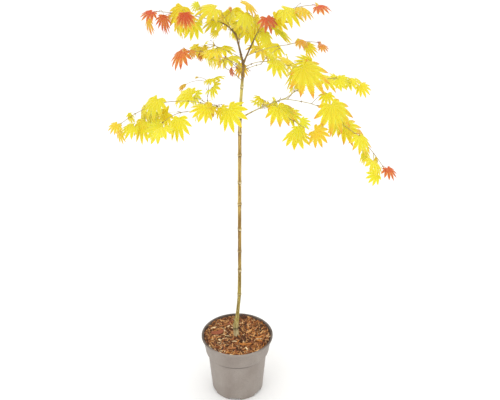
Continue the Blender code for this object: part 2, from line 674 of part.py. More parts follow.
def make_tree(wood, leaf_material):
    trunk = trunk_line()
    lines = {"trunk": ([point for point, _ in trunk], [radius for _, radius in trunk])}
    shapes = {"trunk": tube(*lines["trunk"], TRUNK_SIDES)}
    for name, plan in LIMBS.items():
        lines[name] = grow_limb(lines, plan, LIMB_STEPS, plan["radii"])
        shapes[name] = tube(*lines[name], LIMB_SIDES)
    stems = {}
    for name, plan in MASSES.items():
        grown = {"parent": plan["limb"], "at": plan.get("at", 1), "tip": plan["tip"], "arch": plan["arch"]}
        stems[name] = grow_limb(lines, grown, STEM_STEPS, STEM_RADII)
    for name, shape in shapes.items():
        add_object(name, *shape, wood, BARK_SMOOTH_ANGLE)
    limb_trees = [tree_of(shape) for shape in shapes.values()]
    stem_trees = {name: tree_of(tube(*stem, STEM_SIDES)) for name, stem in stems.items()}
    leaf_trees = []
    for name, plan in MASSES.items():
        others = [tree for other, tree in stem_trees.items() if other != name]
        leaves = plan_leaves(name, plan, stems[name], limb_trees + others + leaf_trees)
        for stalk, pose, length in leaves:
            leaf_trees.append(tree_of(blade(pose, length, BLADE_THICKNESS * length)))
            leaf_trees.append(tree_of(tube(stalk, [STALK_LEAST_RADIUS] * 3, STALK_SIDES)))
        make_mass(name, plan, stems[name], leaves, leaf_material)


clear_scene()
make_pot(principled("pot plastic"))
make_mulch(principled("bark mulch"))
make_tree(principled("bark"), principled("leaf"))
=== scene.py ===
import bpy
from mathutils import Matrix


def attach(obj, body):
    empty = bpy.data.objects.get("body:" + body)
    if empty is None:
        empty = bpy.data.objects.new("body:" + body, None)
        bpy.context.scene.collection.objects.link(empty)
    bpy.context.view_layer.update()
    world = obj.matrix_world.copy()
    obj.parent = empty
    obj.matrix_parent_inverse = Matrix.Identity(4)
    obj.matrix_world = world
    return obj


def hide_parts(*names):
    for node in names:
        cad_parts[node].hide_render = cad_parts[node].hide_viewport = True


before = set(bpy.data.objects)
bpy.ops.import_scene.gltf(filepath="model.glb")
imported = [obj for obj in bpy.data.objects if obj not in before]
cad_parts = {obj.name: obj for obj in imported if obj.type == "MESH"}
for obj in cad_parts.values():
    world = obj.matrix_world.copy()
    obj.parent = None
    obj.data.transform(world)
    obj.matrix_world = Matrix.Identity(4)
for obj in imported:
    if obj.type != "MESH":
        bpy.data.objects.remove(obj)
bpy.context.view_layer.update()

# Potted full moon maple in autumn leaf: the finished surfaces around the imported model.
# Metres, +Z up, origin under the middle of the pot. The camera stands at -Y.

import math
import random

import bmesh
import bpy
from mathutils import Matrix, Vector, noise
from mathutils.bvhtree import BVHTree

up = Vector((0, 0, 1))
front = Vector((0, -1, 0))
gap = 0.0003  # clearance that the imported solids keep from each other
hub = 0.002  # radius of the small disc in the middle of a turned piece


def between(low, high, share):
    return low + (high - low) * share


def clamp(value, low=0.0, high=1.0):
    return max(low, min(high, value))


def hump(distance, width):
    # 1 in the middle and falling off softly on both sides
    return math.exp(-((distance / width) ** 2))


def humps(distance, rows):
    # several of them: how strong, how far off and how wide
    return [strength * hump(distance + off, width) for strength, off, width in rows]


def patch(x, y, spot):
    # a round soft patch at x and y of a width
    return hump(math.hypot(x - spot[0], y - spot[1]), spot[2])


def placeOn(row, share):
    # where a share of a row falls: the entry before it, and how far on to the next
    along = share * (len(row) - 1)
    index = min(int(along), len(row) - 2)
    return index, along - index


def valueOn(values, share):
    index, part = placeOn(values, share)
    return between(values[index], values[index + 1], part)


def pointOn(points, share):
    # a point of a line, and the way the line runs there
    index, part = placeOn(points, share)
    low, high = points[index], points[index + 1]
    return low.lerp(high, part), (high - low).normalized()


def taper(radii, count):
    return [between(*radii, step / (count - 1)) for step in range(count)]


def paint(red, green, blue):
    # a colour of 0 to 255 as on a colour chart, in a shader's linear values
    shares = [value / 255 for value in (red, green, blue)]
    linear = [((share + 0.055) / 1.055) ** 2.4 if share > 0.04 else share / 12.92 for share in shares]
    return (*linear, 1)


def deselect():
    bpy.ops.object.select_all(action="DESELECT")


def selectOnly(piece):
    deselect()
    piece.select_set(True)
    bpy.context.view_layer.objects.active = piece


# Materials. A plain colour stays on the shader, and nodes give grain and gloss.


def setSocket(material, socket, value):
    if isinstance(value, bpy.types.NodeSocket):
        material.node_tree.links.new(value, socket)
    else:
        socket.default_value = value


def feed(material, node, **inputs):
    # a node's settings and its inputs, with _ for a space
    for name, value in inputs.items():
        if hasattr(node, name):
            setattr(node, name, value)
        else:
            setSocket(material, node.inputs[name.replace("_", " ")], value)
    return node


def addNode(material, kind, **inputs):
    return feed(material, material.node_tree.nodes.new(kind), **inputs)


def feedShader(material, **inputs):
    feed(material, material.node_tree.nodes["Principled BSDF"], **inputs)


def newMaterial(name, colour, roughness, shine=0.5):
    material = bpy.data.materials.new(name)
    material.use_nodes = True
    feedShader(material, Base_Color=paint(*colour), Roughness=roughness, Specular_IOR_Level=shine)
    return material


def setMaterials(piece, *materials):
    piece.data.materials.clear()
    for material in materials:
        piece.data.materials.append(material)


def noiseOf(material, scale, detail=4, stretch=(1, 1, 1)):
    # noise on the piece's own coordinates, stretched where the grain runs
    place = addNode(material, "ShaderNodeTexCoord").outputs["Object"]
    mapped = addNode(material, "ShaderNodeMapping", Vector=place, Scale=stretch).outputs["Vector"]
    return addNode(material, "ShaderNodeTexNoise", Vector=mapped, Scale=scale, Detail=detail).outputs["Fac"]


def ramp(material, source, stops):
    # a stop is a place and a colour, or a place and a shade of grey in a mask
    node = addNode(material, "ShaderNodeValToRGB", Fac=source)
    elements = node.color_ramp.elements
    while len(elements) < len(stops):
        elements.new(0.5)
    for element, (place, colour) in zip(elements, stops):
        element.position = place
        element.color = paint(*(colour if isinstance(colour, tuple) else (colour,) * 3))
    return node.outputs["Color"]


def rampAlong(material, axis, stops):
    # a ramp over the piece's own X, Y or Z, with its stops in metres
    low, high = stops[0][0], stops[-1][0]
    place = addNode(material, "ShaderNodeTexCoord").outputs["Object"]
    along = addNode(material, "ShaderNodeSeparateXYZ", Vector=place).outputs[axis]
    spread = addNode(material, "ShaderNodeMapRange", Value=along, From_Min=low, From_Max=high)
    shares = [((at - low) / (high - low), colour) for at, colour in stops]
    return ramp(material, spread.outputs["Result"], shares)


def addBump(material, source, strength, distance):
    bump = addNode(material, "ShaderNodeBump", Height=source, Strength=strength, Distance=distance)
    feedShader(material, Normal=bump.outputs["Normal"])


def addGloss(material, source, low, high):
    # roughness that wanders between two values
    spread = addNode(material, "ShaderNodeMapRange", Value=source, To_Min=low, To_Max=high)
    feedShader(material, Roughness=spread.outputs["Result"])


def addGrain(material, scale, detail=4, gloss=None, bump=None, stretch=(1, 1, 1)):
    # one fine grain that shows in the gloss, in the relief or in both
    grain = noiseOf(material, scale, detail, stretch)
    if gloss:
        addGloss(material, grain, *gloss)
    if bump:
        addBump(material, grain, *bump)


def mixColours(material, share, one, two, blend="MIX"):
    mix = addNode(material, "ShaderNodeMix", data_type="RGBA", blend_type=blend)
    for socket, value in ((mix.inputs[0], share), (mix.inputs[6], one), (mix.inputs[7], two)):
        setSocket(material, socket, value)
    return mix.outputs[2]


# Studio: pale floor, soft light from above, the front and the left

studio = {
    "floorSize": 60,
    "floorColour": (250, 250, 249),
    "floorRoughness": 0.9,
    "floorShine": 0.1,
    "skyColour": (255, 255, 255),
    "skyStrength": 1.155,
    "cameraPlace": (0.0346, -1.538, 1.308),
    "cameraPitch": 25.6,
    "lens": 50,
    "sensor": 36,
    # place, what it aims at, width and power of each soft light
    "lights": {
        "key light": ((-1.3, -1.9, 2.7), (0.0, 0.0, 0.7), 1.8, 9.5),
        "top light": ((0.5, 0.4, 3.2), (0.0, 0.0, 0.8), 2.2, 6),
    },
}


def makeStudio():
    deselect()
    bpy.ops.mesh.primitive_plane_add(size=studio["floorSize"])
    floor = bpy.context.object
    floor.name = "floor"
    setMaterials(floor, newMaterial(
        "floor paint", studio["floorColour"], studio["floorRoughness"], studio["floorShine"]))
    world = bpy.data.worlds.new("studio")
    world.use_nodes = True
    sky = world.node_tree.nodes["Background"]
    sky.inputs["Color"].default_value = paint(*studio["skyColour"])
    sky.inputs["Strength"].default_value = studio["skyStrength"]
    bpy.context.scene.world = world
    for name, (place, target, width, power) in studio["lights"].items():
        bpy.ops.object.light_add(type="AREA", location=place)
        light = bpy.context.object
        light.name = name
        light.data.size = width
        light.data.energy = power
        light.rotation_euler = (Vector(target) - Vector(place)).to_track_quat("-Z", "Y").to_euler()
    bpy.ops.object.camera_add(location=studio["cameraPlace"])
    camera = bpy.context.object
    camera.rotation_euler = (math.radians(90 - studio["cameraPitch"]), 0, 0)
    camera.data.lens = studio["lens"]
    camera.data.sensor_width = studio["sensor"]
    bpy.context.scene.camera = camera
    bpy.context.scene.view_settings.view_transform = "Standard"
    print("studio, lights and camera are set")


# Turned pieces: a disc drawn up and in, ring by ring, along a profile


def roundedProfile(corners, steps=5):
    # corners are radius, height and rounding; a rounded corner becomes a short arc
    profile = []
    for place, (radius, height, rounding) in enumerate(corners):
        here = Vector((radius, height))
        if rounding == 0 or place in (0, len(corners) - 1):
            profile.append(here)
            continue
        before = Vector(corners[place - 1][:2])
        after = Vector(corners[place + 1][:2])
        start = here + (before - here).normalized() * rounding
        end = here + (after - here).normalized() * rounding
        for step in range(steps + 1):
            share = step / steps
            profile.append(start.lerp(here, share).lerp(here.lerp(end, share), share))
    return profile


def turnedPiece(name, profile, sides):
    deselect()
    radius, height = profile[0]
    bpy.ops.mesh.primitive_circle_add(
        vertices=sides, radius=radius, fill_type="NGON", location=(0, 0, height))
    piece = bpy.context.object
    piece.name = name
    bpy.ops.object.mode_set(mode="EDIT")
    for low, high in zip(profile, profile[1:]):
        bpy.ops.mesh.extrude_region_move(TRANSFORM_OT_translate={"value": (0, 0, high[1] - low[1])})
        scale = high[0] / low[0]
        bpy.ops.transform.resize(value=(scale, scale, 1))
    bpy.ops.mesh.select_all(action="SELECT")
    bpy.ops.mesh.normals_make_consistent(inside=False)
    bpy.ops.object.mode_set(mode="OBJECT")
    bpy.ops.object.transform_apply(location=True, rotation=True, scale=True)
    return piece


# Pot

pot = {
    "height": 0.170,
    "rimRadius": 0.0961,
    "rimHeight": 0.005,
    "rimStandsOut": 0.0031,
    "rimBevel": 0.001,
    "belowRim": 0.003,
    "collarHeight": 0.047,
    "collarFootRadius": 0.0855,
    "shoulderDrop": 0.0048,
    "bodyTopRadius": 0.0795,
    "baseRadius": 0.0695,
    "wall": 0.002,
    "floor": 0.0085,
    "sides": 144,
    "smoothAngle": 32,
    "countsAsLevel": 0.6,
    # rounding of the corners, from the foot up, over the lip and down inside
    "rounds": {
        "foot": 0.004, "shoulder": 0.0018, "underRim": 0.001, "rim": 0.0014, "lip": 0.0008, "inside": 0.002},
    # groove and bead under the collar: out and up from the body's top edge, and rounding
    "seam": ((-0.0002, -0.0022, 0.0004), (-0.0007, -0.0008, 0.0004), (0.0012, 0.0003, 0.0006)),
    "drainNotches": 6,
    "firstNotchTurn": -96,
    "notchWidth": 0.029,
    "notchHeight": 0.0068,
    "notchInnerRadius": 0.060,
    "notchRunsOut": 0.005,
    "colour": (149, 139, 131),
    "darkColour": (140, 129, 121),
    "paleColour": (157, 148, 140),
    "specks": (205, 203, 200),
    "speckStrength": 0.5,
    # painted shade on the inner wall and the lip's top, with a film of compost
    "shadedInsideColour": (106, 95, 86),
    "insideFilmAndShade": (78, 64, 54),
    # painted shade in the seam under the collar
    "seamShadeColour": (58, 50, 44),
    # fineness of the clouds and specks in the plastic and of the film inside, and where
    # on the noise the shades of each lie
    "clouds": 26,
    "cloudsAt": (0.30, 0.52, 0.75),
    "speckle": 900,
    "specksAt": (0.36, 0.5),
    "film": 60,
    "filmAt": (0.35, 0.65),
    "shine": 0.35,
    "gloss": (0.42, 0.62),
    "insideGloss": (0.5, 0.8),
    "bump": (0.12, 0.0003),
    # how strongly painted shade shows in the seam under the collar, by height, and from the front of the pot
    # to its back
    "seamShadeByHeight": ((0.1142, 0), (0.1176, 240), (0.1210, 0)),
    "seamShadeByDepth": ((-0.078, 255), (-0.066, 150), (-0.050, 60), (0.080, 170)),
    # painted shade: the lip keeps the plastic's own colour at the front, and the shaded colour starts behind
    # it
    "paintedShadeByDepth": ((-0.086, 0), (-0.050, 255)),
}
shoulder = pot["height"] - pot["collarHeight"]
bodyTop = shoulder - pot["shoulderDrop"]


def potInnerRadius(height):
    corners = ((0, pot["baseRadius"]), (bodyTop, pot["bodyTopRadius"]), (shoulder, pot["collarFootRadius"]),
               (pot["height"], pot["rimRadius"] - pot["rimStandsOut"]))
    for (low, lowRadius), (high, highRadius) in zip(corners, corners[1:]):
        if height < high:
            break
    return between(lowRadius, highRadius, (height - low) / (high - low)) - pot["wall"]


def cutNotch(piece, angle):
    reach = pot["baseRadius"] + pot["notchRunsOut"] - pot["notchInnerRadius"]
    middle = pot["notchInnerRadius"] + reach / 2
    deselect()
    bpy.ops.mesh.primitive_cube_add(size=1)
    cutter = bpy.context.object
    cutter.scale = (reach, pot["notchWidth"], 2 * pot["notchHeight"])
    cutter.location = (middle * math.cos(angle), middle * math.sin(angle), 0)
    cutter.rotation_euler.z = angle
    cut = piece.modifiers.new("drain notch", "BOOLEAN")
    cut.object = cutter
    cut.solver = "EXACT"
    bpy.context.view_layer.objects.active = piece
    bpy.ops.object.modifier_apply(modifier=cut.name)
    bpy.data.objects.remove(cutter, do_unlink=True)


def makePot():
    rimFoot = pot["height"] - pot["rimHeight"]
    underRim = rimFoot - pot["belowRim"]
    rounds = pot["rounds"]
    profile = roundedProfile([
        (hub, 0, 0),
        (pot["baseRadius"], 0, rounds["foot"]),
        *((pot["bodyTopRadius"] + out, bodyTop + rise, rounding) for out, rise, rounding in pot["seam"]),
        (pot["collarFootRadius"], shoulder, rounds["shoulder"]),
        (potInnerRadius(underRim) + pot["wall"], underRim, rounds["underRim"]),
        (pot["rimRadius"], rimFoot + pot["rimBevel"], rounds["rim"]),
        (pot["rimRadius"], pot["height"], rounds["lip"]),
        (potInnerRadius(pot["height"]), pot["height"], rounds["lip"]),
        *((potInnerRadius(height), height, rounds["inside"])
          for height in (shoulder, bodyTop, pot["floor"])),
        (hub, pot["floor"], 0),
    ])
    piece = turnedPiece("nurseryPot", profile, pot["sides"])
    for notch in range(pot["drainNotches"]):
        cutNotch(piece, math.radians(pot["firstNotchTurn"]) + math.tau * notch / pot["drainNotches"])
    selectOnly(piece)
    bpy.ops.object.shade_smooth_by_angle(angle=math.radians(pot["smoothAngle"]))
    setMaterials(piece, potPlastic(), potInside())
    # inward faces and the lip's top get the painted shade of the inside
    for face in piece.data.polygons:
        inward = face.center.x * face.normal.x + face.center.y * face.normal.y < 0
        if (inward or face.normal.z > pot["countsAsLevel"]) and face.center.z > pot["floor"]:
            face.material_index = 1
    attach(piece, "root")
    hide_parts("pot")
    print("pot is turned, with its drain notches")


def potPlastic():
    material = newMaterial("taupe pot plastic", pot["colour"], 0.5, pot["shine"])
    clouds = noiseOf(material, pot["clouds"], 5, (1, 1, 0.6))
    speckle = noiseOf(material, pot["speckle"], 2)
    shades = [pot["darkColour"], pot["colour"], pot["paleColour"]]
    mottled = ramp(material, clouds, list(zip(pot["cloudsAt"], shades)))
    specks = ramp(material, speckle, list(zip(pot["specksAt"], (pot["specks"], 255))))
    plain = mixColours(material, pot["speckStrength"], mottled, specks, "MULTIPLY")
    # painted shade: a dark line in the seam under the collar, strongest at the front
    byHeight = rampAlong(material, "Z", pot["seamShadeByHeight"])
    byDepth = rampAlong(material, "Y", pot["seamShadeByDepth"])
    seamShade = mixColours(material, 1.0, byHeight, byDepth, "MULTIPLY")
    feedShader(material, Base_Color=mixColours(material, seamShade, plain, paint(*pot["seamShadeColour"])))
    addGloss(material, clouds, *pot["gloss"])
    addBump(material, speckle, *pot["bump"])
    return material


def potInside():
    # painted shade: the inner wall and the lip's top behind the front are a darker plastic, with a film of
    # compost
    material = newMaterial("shaded pot plastic", pot["shadedInsideColour"], 0.6)
    film = noiseOf(material, pot["film"])
    filmAndShade = ramp(material, film, list(zip(pot["filmAt"], (pot["insideFilmAndShade"], pot["shadedInsideColour"]))))
    behind = rampAlong(material, "Y", pot["paintedShadeByDepth"])
    feedShader(material, Base_Color=mixColours(material, behind, paint(*pot["colour"]), filmAndShade))
    addGloss(material, film, *pot["insideGloss"])
    return material


# Bark mulch: a dark bed, and the chips, curls and crumbs that lie on it

mulch = {
    "belowRim": 0.008,
    "dome": 0.0030,
    "edgeRise": 0.0035,
    # height, fineness and seed of the mounds and of the rough surface
    "mounds": (0.0030, 36, 8.0),
    "roughness": (0.0012, 140, 3.0),
    "sides": 96,
    "topRings": 36,
    "firstTopRing": 0.3,
    # x, y and width of the dark hollows
    "hollows": (
        (0.018, -0.004, 0.008), (-0.027, -0.006, 0.006), (-0.053, -0.020, 0.006), (-0.050, -0.034, 0.005),
        (0.010, -0.030, 0.005), (0.044, -0.036, 0.005), (-0.020, 0.030, 0.006), (0.062, 0.018, 0.005)),
    "hollowDepth": 0.006,
    "hollowThins": 0.75,
    "edgeSinks": 0.001,
    "bedColour": (52, 30, 18),
    "bedShades": ((0.32, (40, 24, 14)), (0.5, (86, 52, 30)), (0.68, (140, 90, 50))),
    "bedGrain": 420,
    "bedBump": (0.9, 0.0012),
    "insetFromPot": 0.0014,
    # within this of the pot's wall a piece lies along it, give or take an angle
    "alongWall": 0.006,
    "alongWallTurn": 0.4,
    "stem": (-0.0025, 0),
    "clearOfStem": 0.0075,
    "fallsTilted": (0.28, 0.35),
    "chipGrain": 700,
    "chipGloss": (0.55, 0.95),
    "chipBump": (0.6, 0.0005),
    "smoothAngle": 30,
    # how many, length, width, thickness, curl and its steps, and how high it lies
    "shavings": {
        "chips": (260, (0.006, 0.017), (0.0022, 0.0050), 0.0012, (-0.7, 0.7), 4, (0.0002, 0.0016)),
        "curls": (900, (0.006, 0.020), (0.0011, 0.0030), 0.0006, (0.8, 3.2), 6, (0.0008, 0.0024)),
    },
    "crumbs": 520,
    "crumbSize": (0.0012, 0.0034),
    "crumbLift": (0.1, 0.5),
    "crumbRagged": (0.75, 1.2),
    "crumbStretch": ((0.8, 1.6), (0.7, 1.1), (0.5, 0.9)),
    "shavingTwist": 0.6,
    "edgeRagged": (0.75, 1.1),
    # how wide a shaving's ends are, where they begin and how fast it widens from them
    "endWidth": 0.35,
    "endsAt": (0.08, 0.92),
    "widens": 0.6,
    "thicknessVaries": (0.7, 1.2),
    "endThickness": 0.4,
    # shavings that stand out: x, y, length, width, curl, turn, tint
    "largeChips": (
        (-0.054, 0.008, 0.036, 0.013, 1.3, 12, "red bark"),
        (-0.036, 0.019, 0.014, 0.006, -0.9, -36, "cream wood"),
        (0.024, -0.042, 0.032, 0.0055, 0.4, 3, "amber bark"),
        (0.058, -0.012, 0.022, 0.006, 1.6, 18, "amber bark"),
        (0.060, -0.026, 0.017, 0.007, -1.4, -12, "amber bark"),
        (0.066, 0.008, 0.018, 0.004, 1.2, 60, "honey bark"),
        (0.045, -0.004, 0.022, 0.003, 1.6, 75, "honey bark"),
        (0.031, 0.014, 0.020, 0.007, 0.8, 42, "honey bark"),
        (-0.022, 0.052, 0.024, 0.005, 0.9, 62, "red bark"),
        (-0.066, 0.030, 0.018, 0.005, 0.8, 34, "cream wood"),
        (-0.052, 0.022, 0.034, 0.004, 0.5, -12, "tan bark"),
        (0.026, -0.060, 0.012, 0.004, 1.0, -60, "cream wood"),
        (-0.012, -0.060, 0.020, 0.006, 0.6, 10, "tan bark"),
        (0.050, 0.030, 0.020, 0.004, -1.2, 30, "tan bark"),
        (-0.040, 0.040, 0.022, 0.004, 0.8, 12, "tan bark")),
    "largeThickness": 0.0016,
    "largeSteps": 8,
    "largeLift": 0.0032,
    "largeTilt": (-0.08, 0.08),
    "largeRoll": (0.1, 0.3),
    # it lies darker just in front of the stem, paler at the left and goldener to the right
    "darkPatch": (0.018, -0.014, 0.018),
    "palePatch": (-0.044, -0.036, 0.030),
    "rightOver": 0.06,
    # colour, how often it is dealt out, and how that changes in the dark, the pale and the right part
    "tints": {
        "tan bark": ((170, 108, 58), 27, 0, 0, 0),
        "brown bark": ((128, 78, 44), 21, 2.0, 0, 0),
        "honey bark": ((212, 158, 96), 21, -0.6, 0, 0),
        "dark bark": ((80, 48, 28), 14, 3.5, 0, 0),
        "cream wood": ((238, 208, 158), 9, -0.9, 1.4, 0),
        "amber bark": ((190, 120, 50), 8, 0, 0, 1.5),
        "red bark": ((146, 78, 46), 5, 0, 0, 0),
    },
}
soilLevel = pot["height"] - mulch["belowRim"]
soilRadius = potInnerRadius(soilLevel)


def bedHeight(x, y):
    # the bed is a little higher in the middle, and sinks in a few dark hollows
    share = math.hypot(x, y) / soilRadius
    height = soilLevel + mulch["dome"] * (1 - share * share) + mulch["edgeRise"] * share ** 6
    for hollow in mulch["hollows"]:
        height -= mulch["hollowDepth"] * patch(x, y, hollow)
    rise, fine, seed = mulch["mounds"]
    height += rise * noise.noise(Vector((x * fine, y * fine, seed))) * (1 - share ** 4)
    rise, fine, seed = mulch["roughness"]
    return height + rise * noise.noise(Vector((x * fine, y * fine, seed)))


def makeBed():
    bottom = pot["floor"] + gap
    edge = soilRadius - 2 * gap
    profile = [
        (hub, bottom),
        (potInnerRadius(bottom) - gap, bottom),
        (potInnerRadius(bodyTop) - 2 * gap, bodyTop),
        (potInnerRadius(shoulder) - 2 * gap, shoulder),
        (edge, soilLevel - mulch["edgeSinks"]),
    ]
    for ring in range(mulch["topRings"]):
        profile.append((edge * (1 - (ring + mulch["firstTopRing"]) / mulch["topRings"]), soilLevel))
    piece = turnedPiece("mulchBed", profile, mulch["sides"])
    for vertex in piece.data.vertices:
        if vertex.co.z > soilLevel - gap:
            vertex.co.z = bedHeight(vertex.co.x, vertex.co.y)
    piece.data.update()
    piece.data.shade_smooth()
    material = newMaterial("dark compost", mulch["bedColour"], 0.95)
    grain = noiseOf(material, mulch["bedGrain"], 6)
    feedShader(material, Base_Color=ramp(material, grain, mulch["bedShades"]))
    addBump(material, grain, *mulch["bedBump"])
    setMaterials(piece, material)
    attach(piece, "root")
    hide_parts("mulch")
    print("bed of compost fills the pot")


# Joined meshes: shapes are gathered in a store and made one object at the end


def newStore():
    return {"points": [], "faces": [], "slots": [], "uv": []}


def addShape(store, points, faces, slot, uv=None):
    first = len(store["points"])
    store["points"].extend(points)
    store["faces"].extend([tuple(first + corner for corner in face) for face in faces])
    store["slots"].extend(slot if isinstance(slot, list) else [slot] * len(faces))
    store["uv"].extend(uv or [(0.0, 0.0)] * len(points))


def storeToPiece(store, name, materials, smoothAngle):
    mesh = bpy.data.meshes.new(name)
    mesh.from_pydata([tuple(point) for point in store["points"]], [], store["faces"])
    piece = bpy.data.objects.new(name, mesh)
    bpy.context.scene.collection.objects.link(piece)
    setMaterials(piece, *materials)
    mesh.polygons.foreach_set("material_index", store["slots"])
    corners = [0] * len(mesh.loops)
    mesh.loops.foreach_get("vertex_index", corners)
    layer = mesh.uv_layers.new(name="surface")
    layer.data.foreach_set("uv", [value for corner in corners for value in store["uv"][corner]])
    mesh.update()
    selectOnly(piece)
    bpy.ops.object.shade_smooth_by_angle(angle=math.radians(smoothAngle))
    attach(piece, "root")
    print(f"{name}: {sum(len(face) - 2 for face in store['faces'])} triangles")
    return piece


def crumbShape(rng, size):
    # a lump with twelve corners and twenty faces
    golden = (1 + math.sqrt(5)) / 2
    shape = bmesh.new()
    for one in (-1, 1):
        for two in (-golden, golden):
            for corner in ((0, one, two), (one, two, 0), (two, 0, one)):
                shape.verts.new(Vector(corner) * rng.uniform(*mulch["crumbRagged"]))
    bmesh.ops.convex_hull(shape, input=shape.verts)
    bmesh.ops.recalc_face_normals(shape, faces=shape.faces)
    stretch = Vector([rng.uniform(*limits) for limits in mulch["crumbStretch"]])
    shape.verts.index_update()
    used = [vertex for vertex in shape.verts if vertex.link_faces]
    numbers = {vertex: number for number, vertex in enumerate(used)}
    points = [vertex.co * stretch * (size / 2 / golden) for vertex in used]
    faces = [tuple(numbers[vertex] for vertex in face.verts) for face in shape.faces]
    shape.free()
    return points, faces


def ringFaces(rings, sides):
    # end, walls and other end of a tube of rings
    faces = [tuple(reversed(range(sides)))]
    for low in range(0, (rings - 1) * sides, sides):
        for side in range(sides):
            after = (side + 1) % sides
            faces.append((low + side, low + after, low + sides + after, low + sides + side))
    faces.append(tuple(range((rings - 1) * sides, rings * sides)))
    return faces


def shavingShape(rng, length, width, thickness, curl, steps):
    # a strip of bark, curled along its length, ragged and narrower at its ends
    points = []
    twist = rng.uniform(-mulch["shavingTwist"], mulch["shavingTwist"])
    radius = length / max(abs(curl), 0.01)
    for step in range(steps + 1):
        share = step / steps
        angle = (share - 0.5) * curl
        x = radius * math.sin(angle)
        z = radius * (1 - math.cos(angle)) * (1 if curl > 0 else -1)
        full = math.sin(math.pi * clamp(share, *mulch["endsAt"])) ** mulch["widens"]
        half = width / 2 * between(mulch["endWidth"], 1, full) * rng.uniform(*mulch["edgeRagged"])
        thick = thickness * rng.uniform(*mulch["thicknessVaries"])
        thick *= mulch["endThickness"] if step in (0, steps) else 1
        for side, level in ((-1, -1), (1, -1), (1, 1), (-1, 1)):
            y = side * half
            points.append(Vector((x, y, z + level * thick / 2 + y * twist * (share - 0.5))))
    return points, ringFaces(steps + 1, 4)


def layOn(points, x, y, lift, turn, tilt, roll):
    # a shape turned and set down on the bed
    place = Matrix.Translation((x, y, bedHeight(x, y) + lift)) @ Matrix.Rotation(turn, 4, "Z")
    place = place @ Matrix.Rotation(tilt, 4, "Y") @ Matrix.Rotation(roll, 4, "X")
    return [place @ point for point in points]


def barkTint(rng, x, y):
    dark = patch(x, y, mulch["darkPatch"])
    pale = patch(x, y, mulch["palePatch"])
    right = clamp(x / mulch["rightOver"])
    weights = [often * (1 + inDark * dark + inPale * pale + atRight * right)
               for _, often, inDark, inPale, atRight in mulch["tints"].values()]
    return rng.choices(range(len(weights)), weights)[0]


def freePlace(rng, reach):
    # a place on the bed, clear of the stem and seldom in a hollow
    while True:
        angle = rng.uniform(0, math.tau)
        radius = reach * math.sqrt(rng.random())
        x, y = radius * math.cos(angle), radius * math.sin(angle)
        if math.hypot(x - mulch["stem"][0], y - mulch["stem"][1]) < mulch["clearOfStem"]:
            continue
        if rng.random() >= mulch["hollowThins"] * max(patch(x, y, hollow) for hollow in mulch["hollows"]):
            return angle, radius, x, y


def loosePiece(rng, kind):
    # the shape of a chip, a curl or a crumb, and how high it lies
    if kind == "crumbs":
        size = rng.uniform(*mulch["crumbSize"])
        return crumbShape(rng, size), size * rng.uniform(*mulch["crumbLift"])
    _, lengths, widths, thickness, curls, steps, lifts = mulch["shavings"][kind]
    length, width, curl = rng.uniform(*lengths), rng.uniform(*widths), rng.uniform(*curls)
    if kind == "curls":
        curl *= rng.choice((-1, 1))
    return shavingShape(rng, length, width, thickness, curl, steps), rng.uniform(*lifts)


def makeChips():
    rng = random.Random("bark mulch")
    store = newStore()
    reach = soilRadius - mulch["insetFromPot"]
    counts = {**{kind: row[0] for kind, row in mulch["shavings"].items()}, "crumbs": mulch["crumbs"]}
    for kind, count in counts.items():
        for _ in range(count):
            angle, radius, x, y = freePlace(rng, reach)
            (points, faces), lift = loosePiece(rng, kind)
            turn = rng.uniform(0, math.tau)
            if radius > reach - mulch["alongWall"]:
                turn = angle + math.pi / 2 + rng.uniform(-mulch["alongWallTurn"], mulch["alongWallTurn"])
            tilt, roll = [rng.gauss(0, width) for width in mulch["fallsTilted"]]
            addShape(store, layOn(points, x, y, lift, turn, tilt, roll), faces, barkTint(rng, x, y))
    for x, y, length, width, curl, turn, tint in mulch["largeChips"]:
        points, faces = shavingShape(rng, length, width, mulch["largeThickness"], curl, mulch["largeSteps"])
        tilt, roll = rng.uniform(*mulch["largeTilt"]), rng.uniform(*mulch["largeRoll"])
        laid = layOn(points, x, y, mulch["largeLift"], math.radians(turn), tilt, roll)
        addShape(store, laid, faces, list(mulch["tints"]).index(tint))
    materials = []
    for name, (colour, *_) in mulch["tints"].items():
        material = newMaterial(name, colour, 0.8)
        addGrain(material, mulch["chipGrain"], 4, mulch["chipGloss"], mulch["chipBump"], (1, 0.35, 1))
        materials.append(material)
    piece = storeToPiece(store, "barkChips", materials, mulch["smoothAngle"])
    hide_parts("mulch")


# Trunk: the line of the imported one, with its nodes, graft and bark in relief

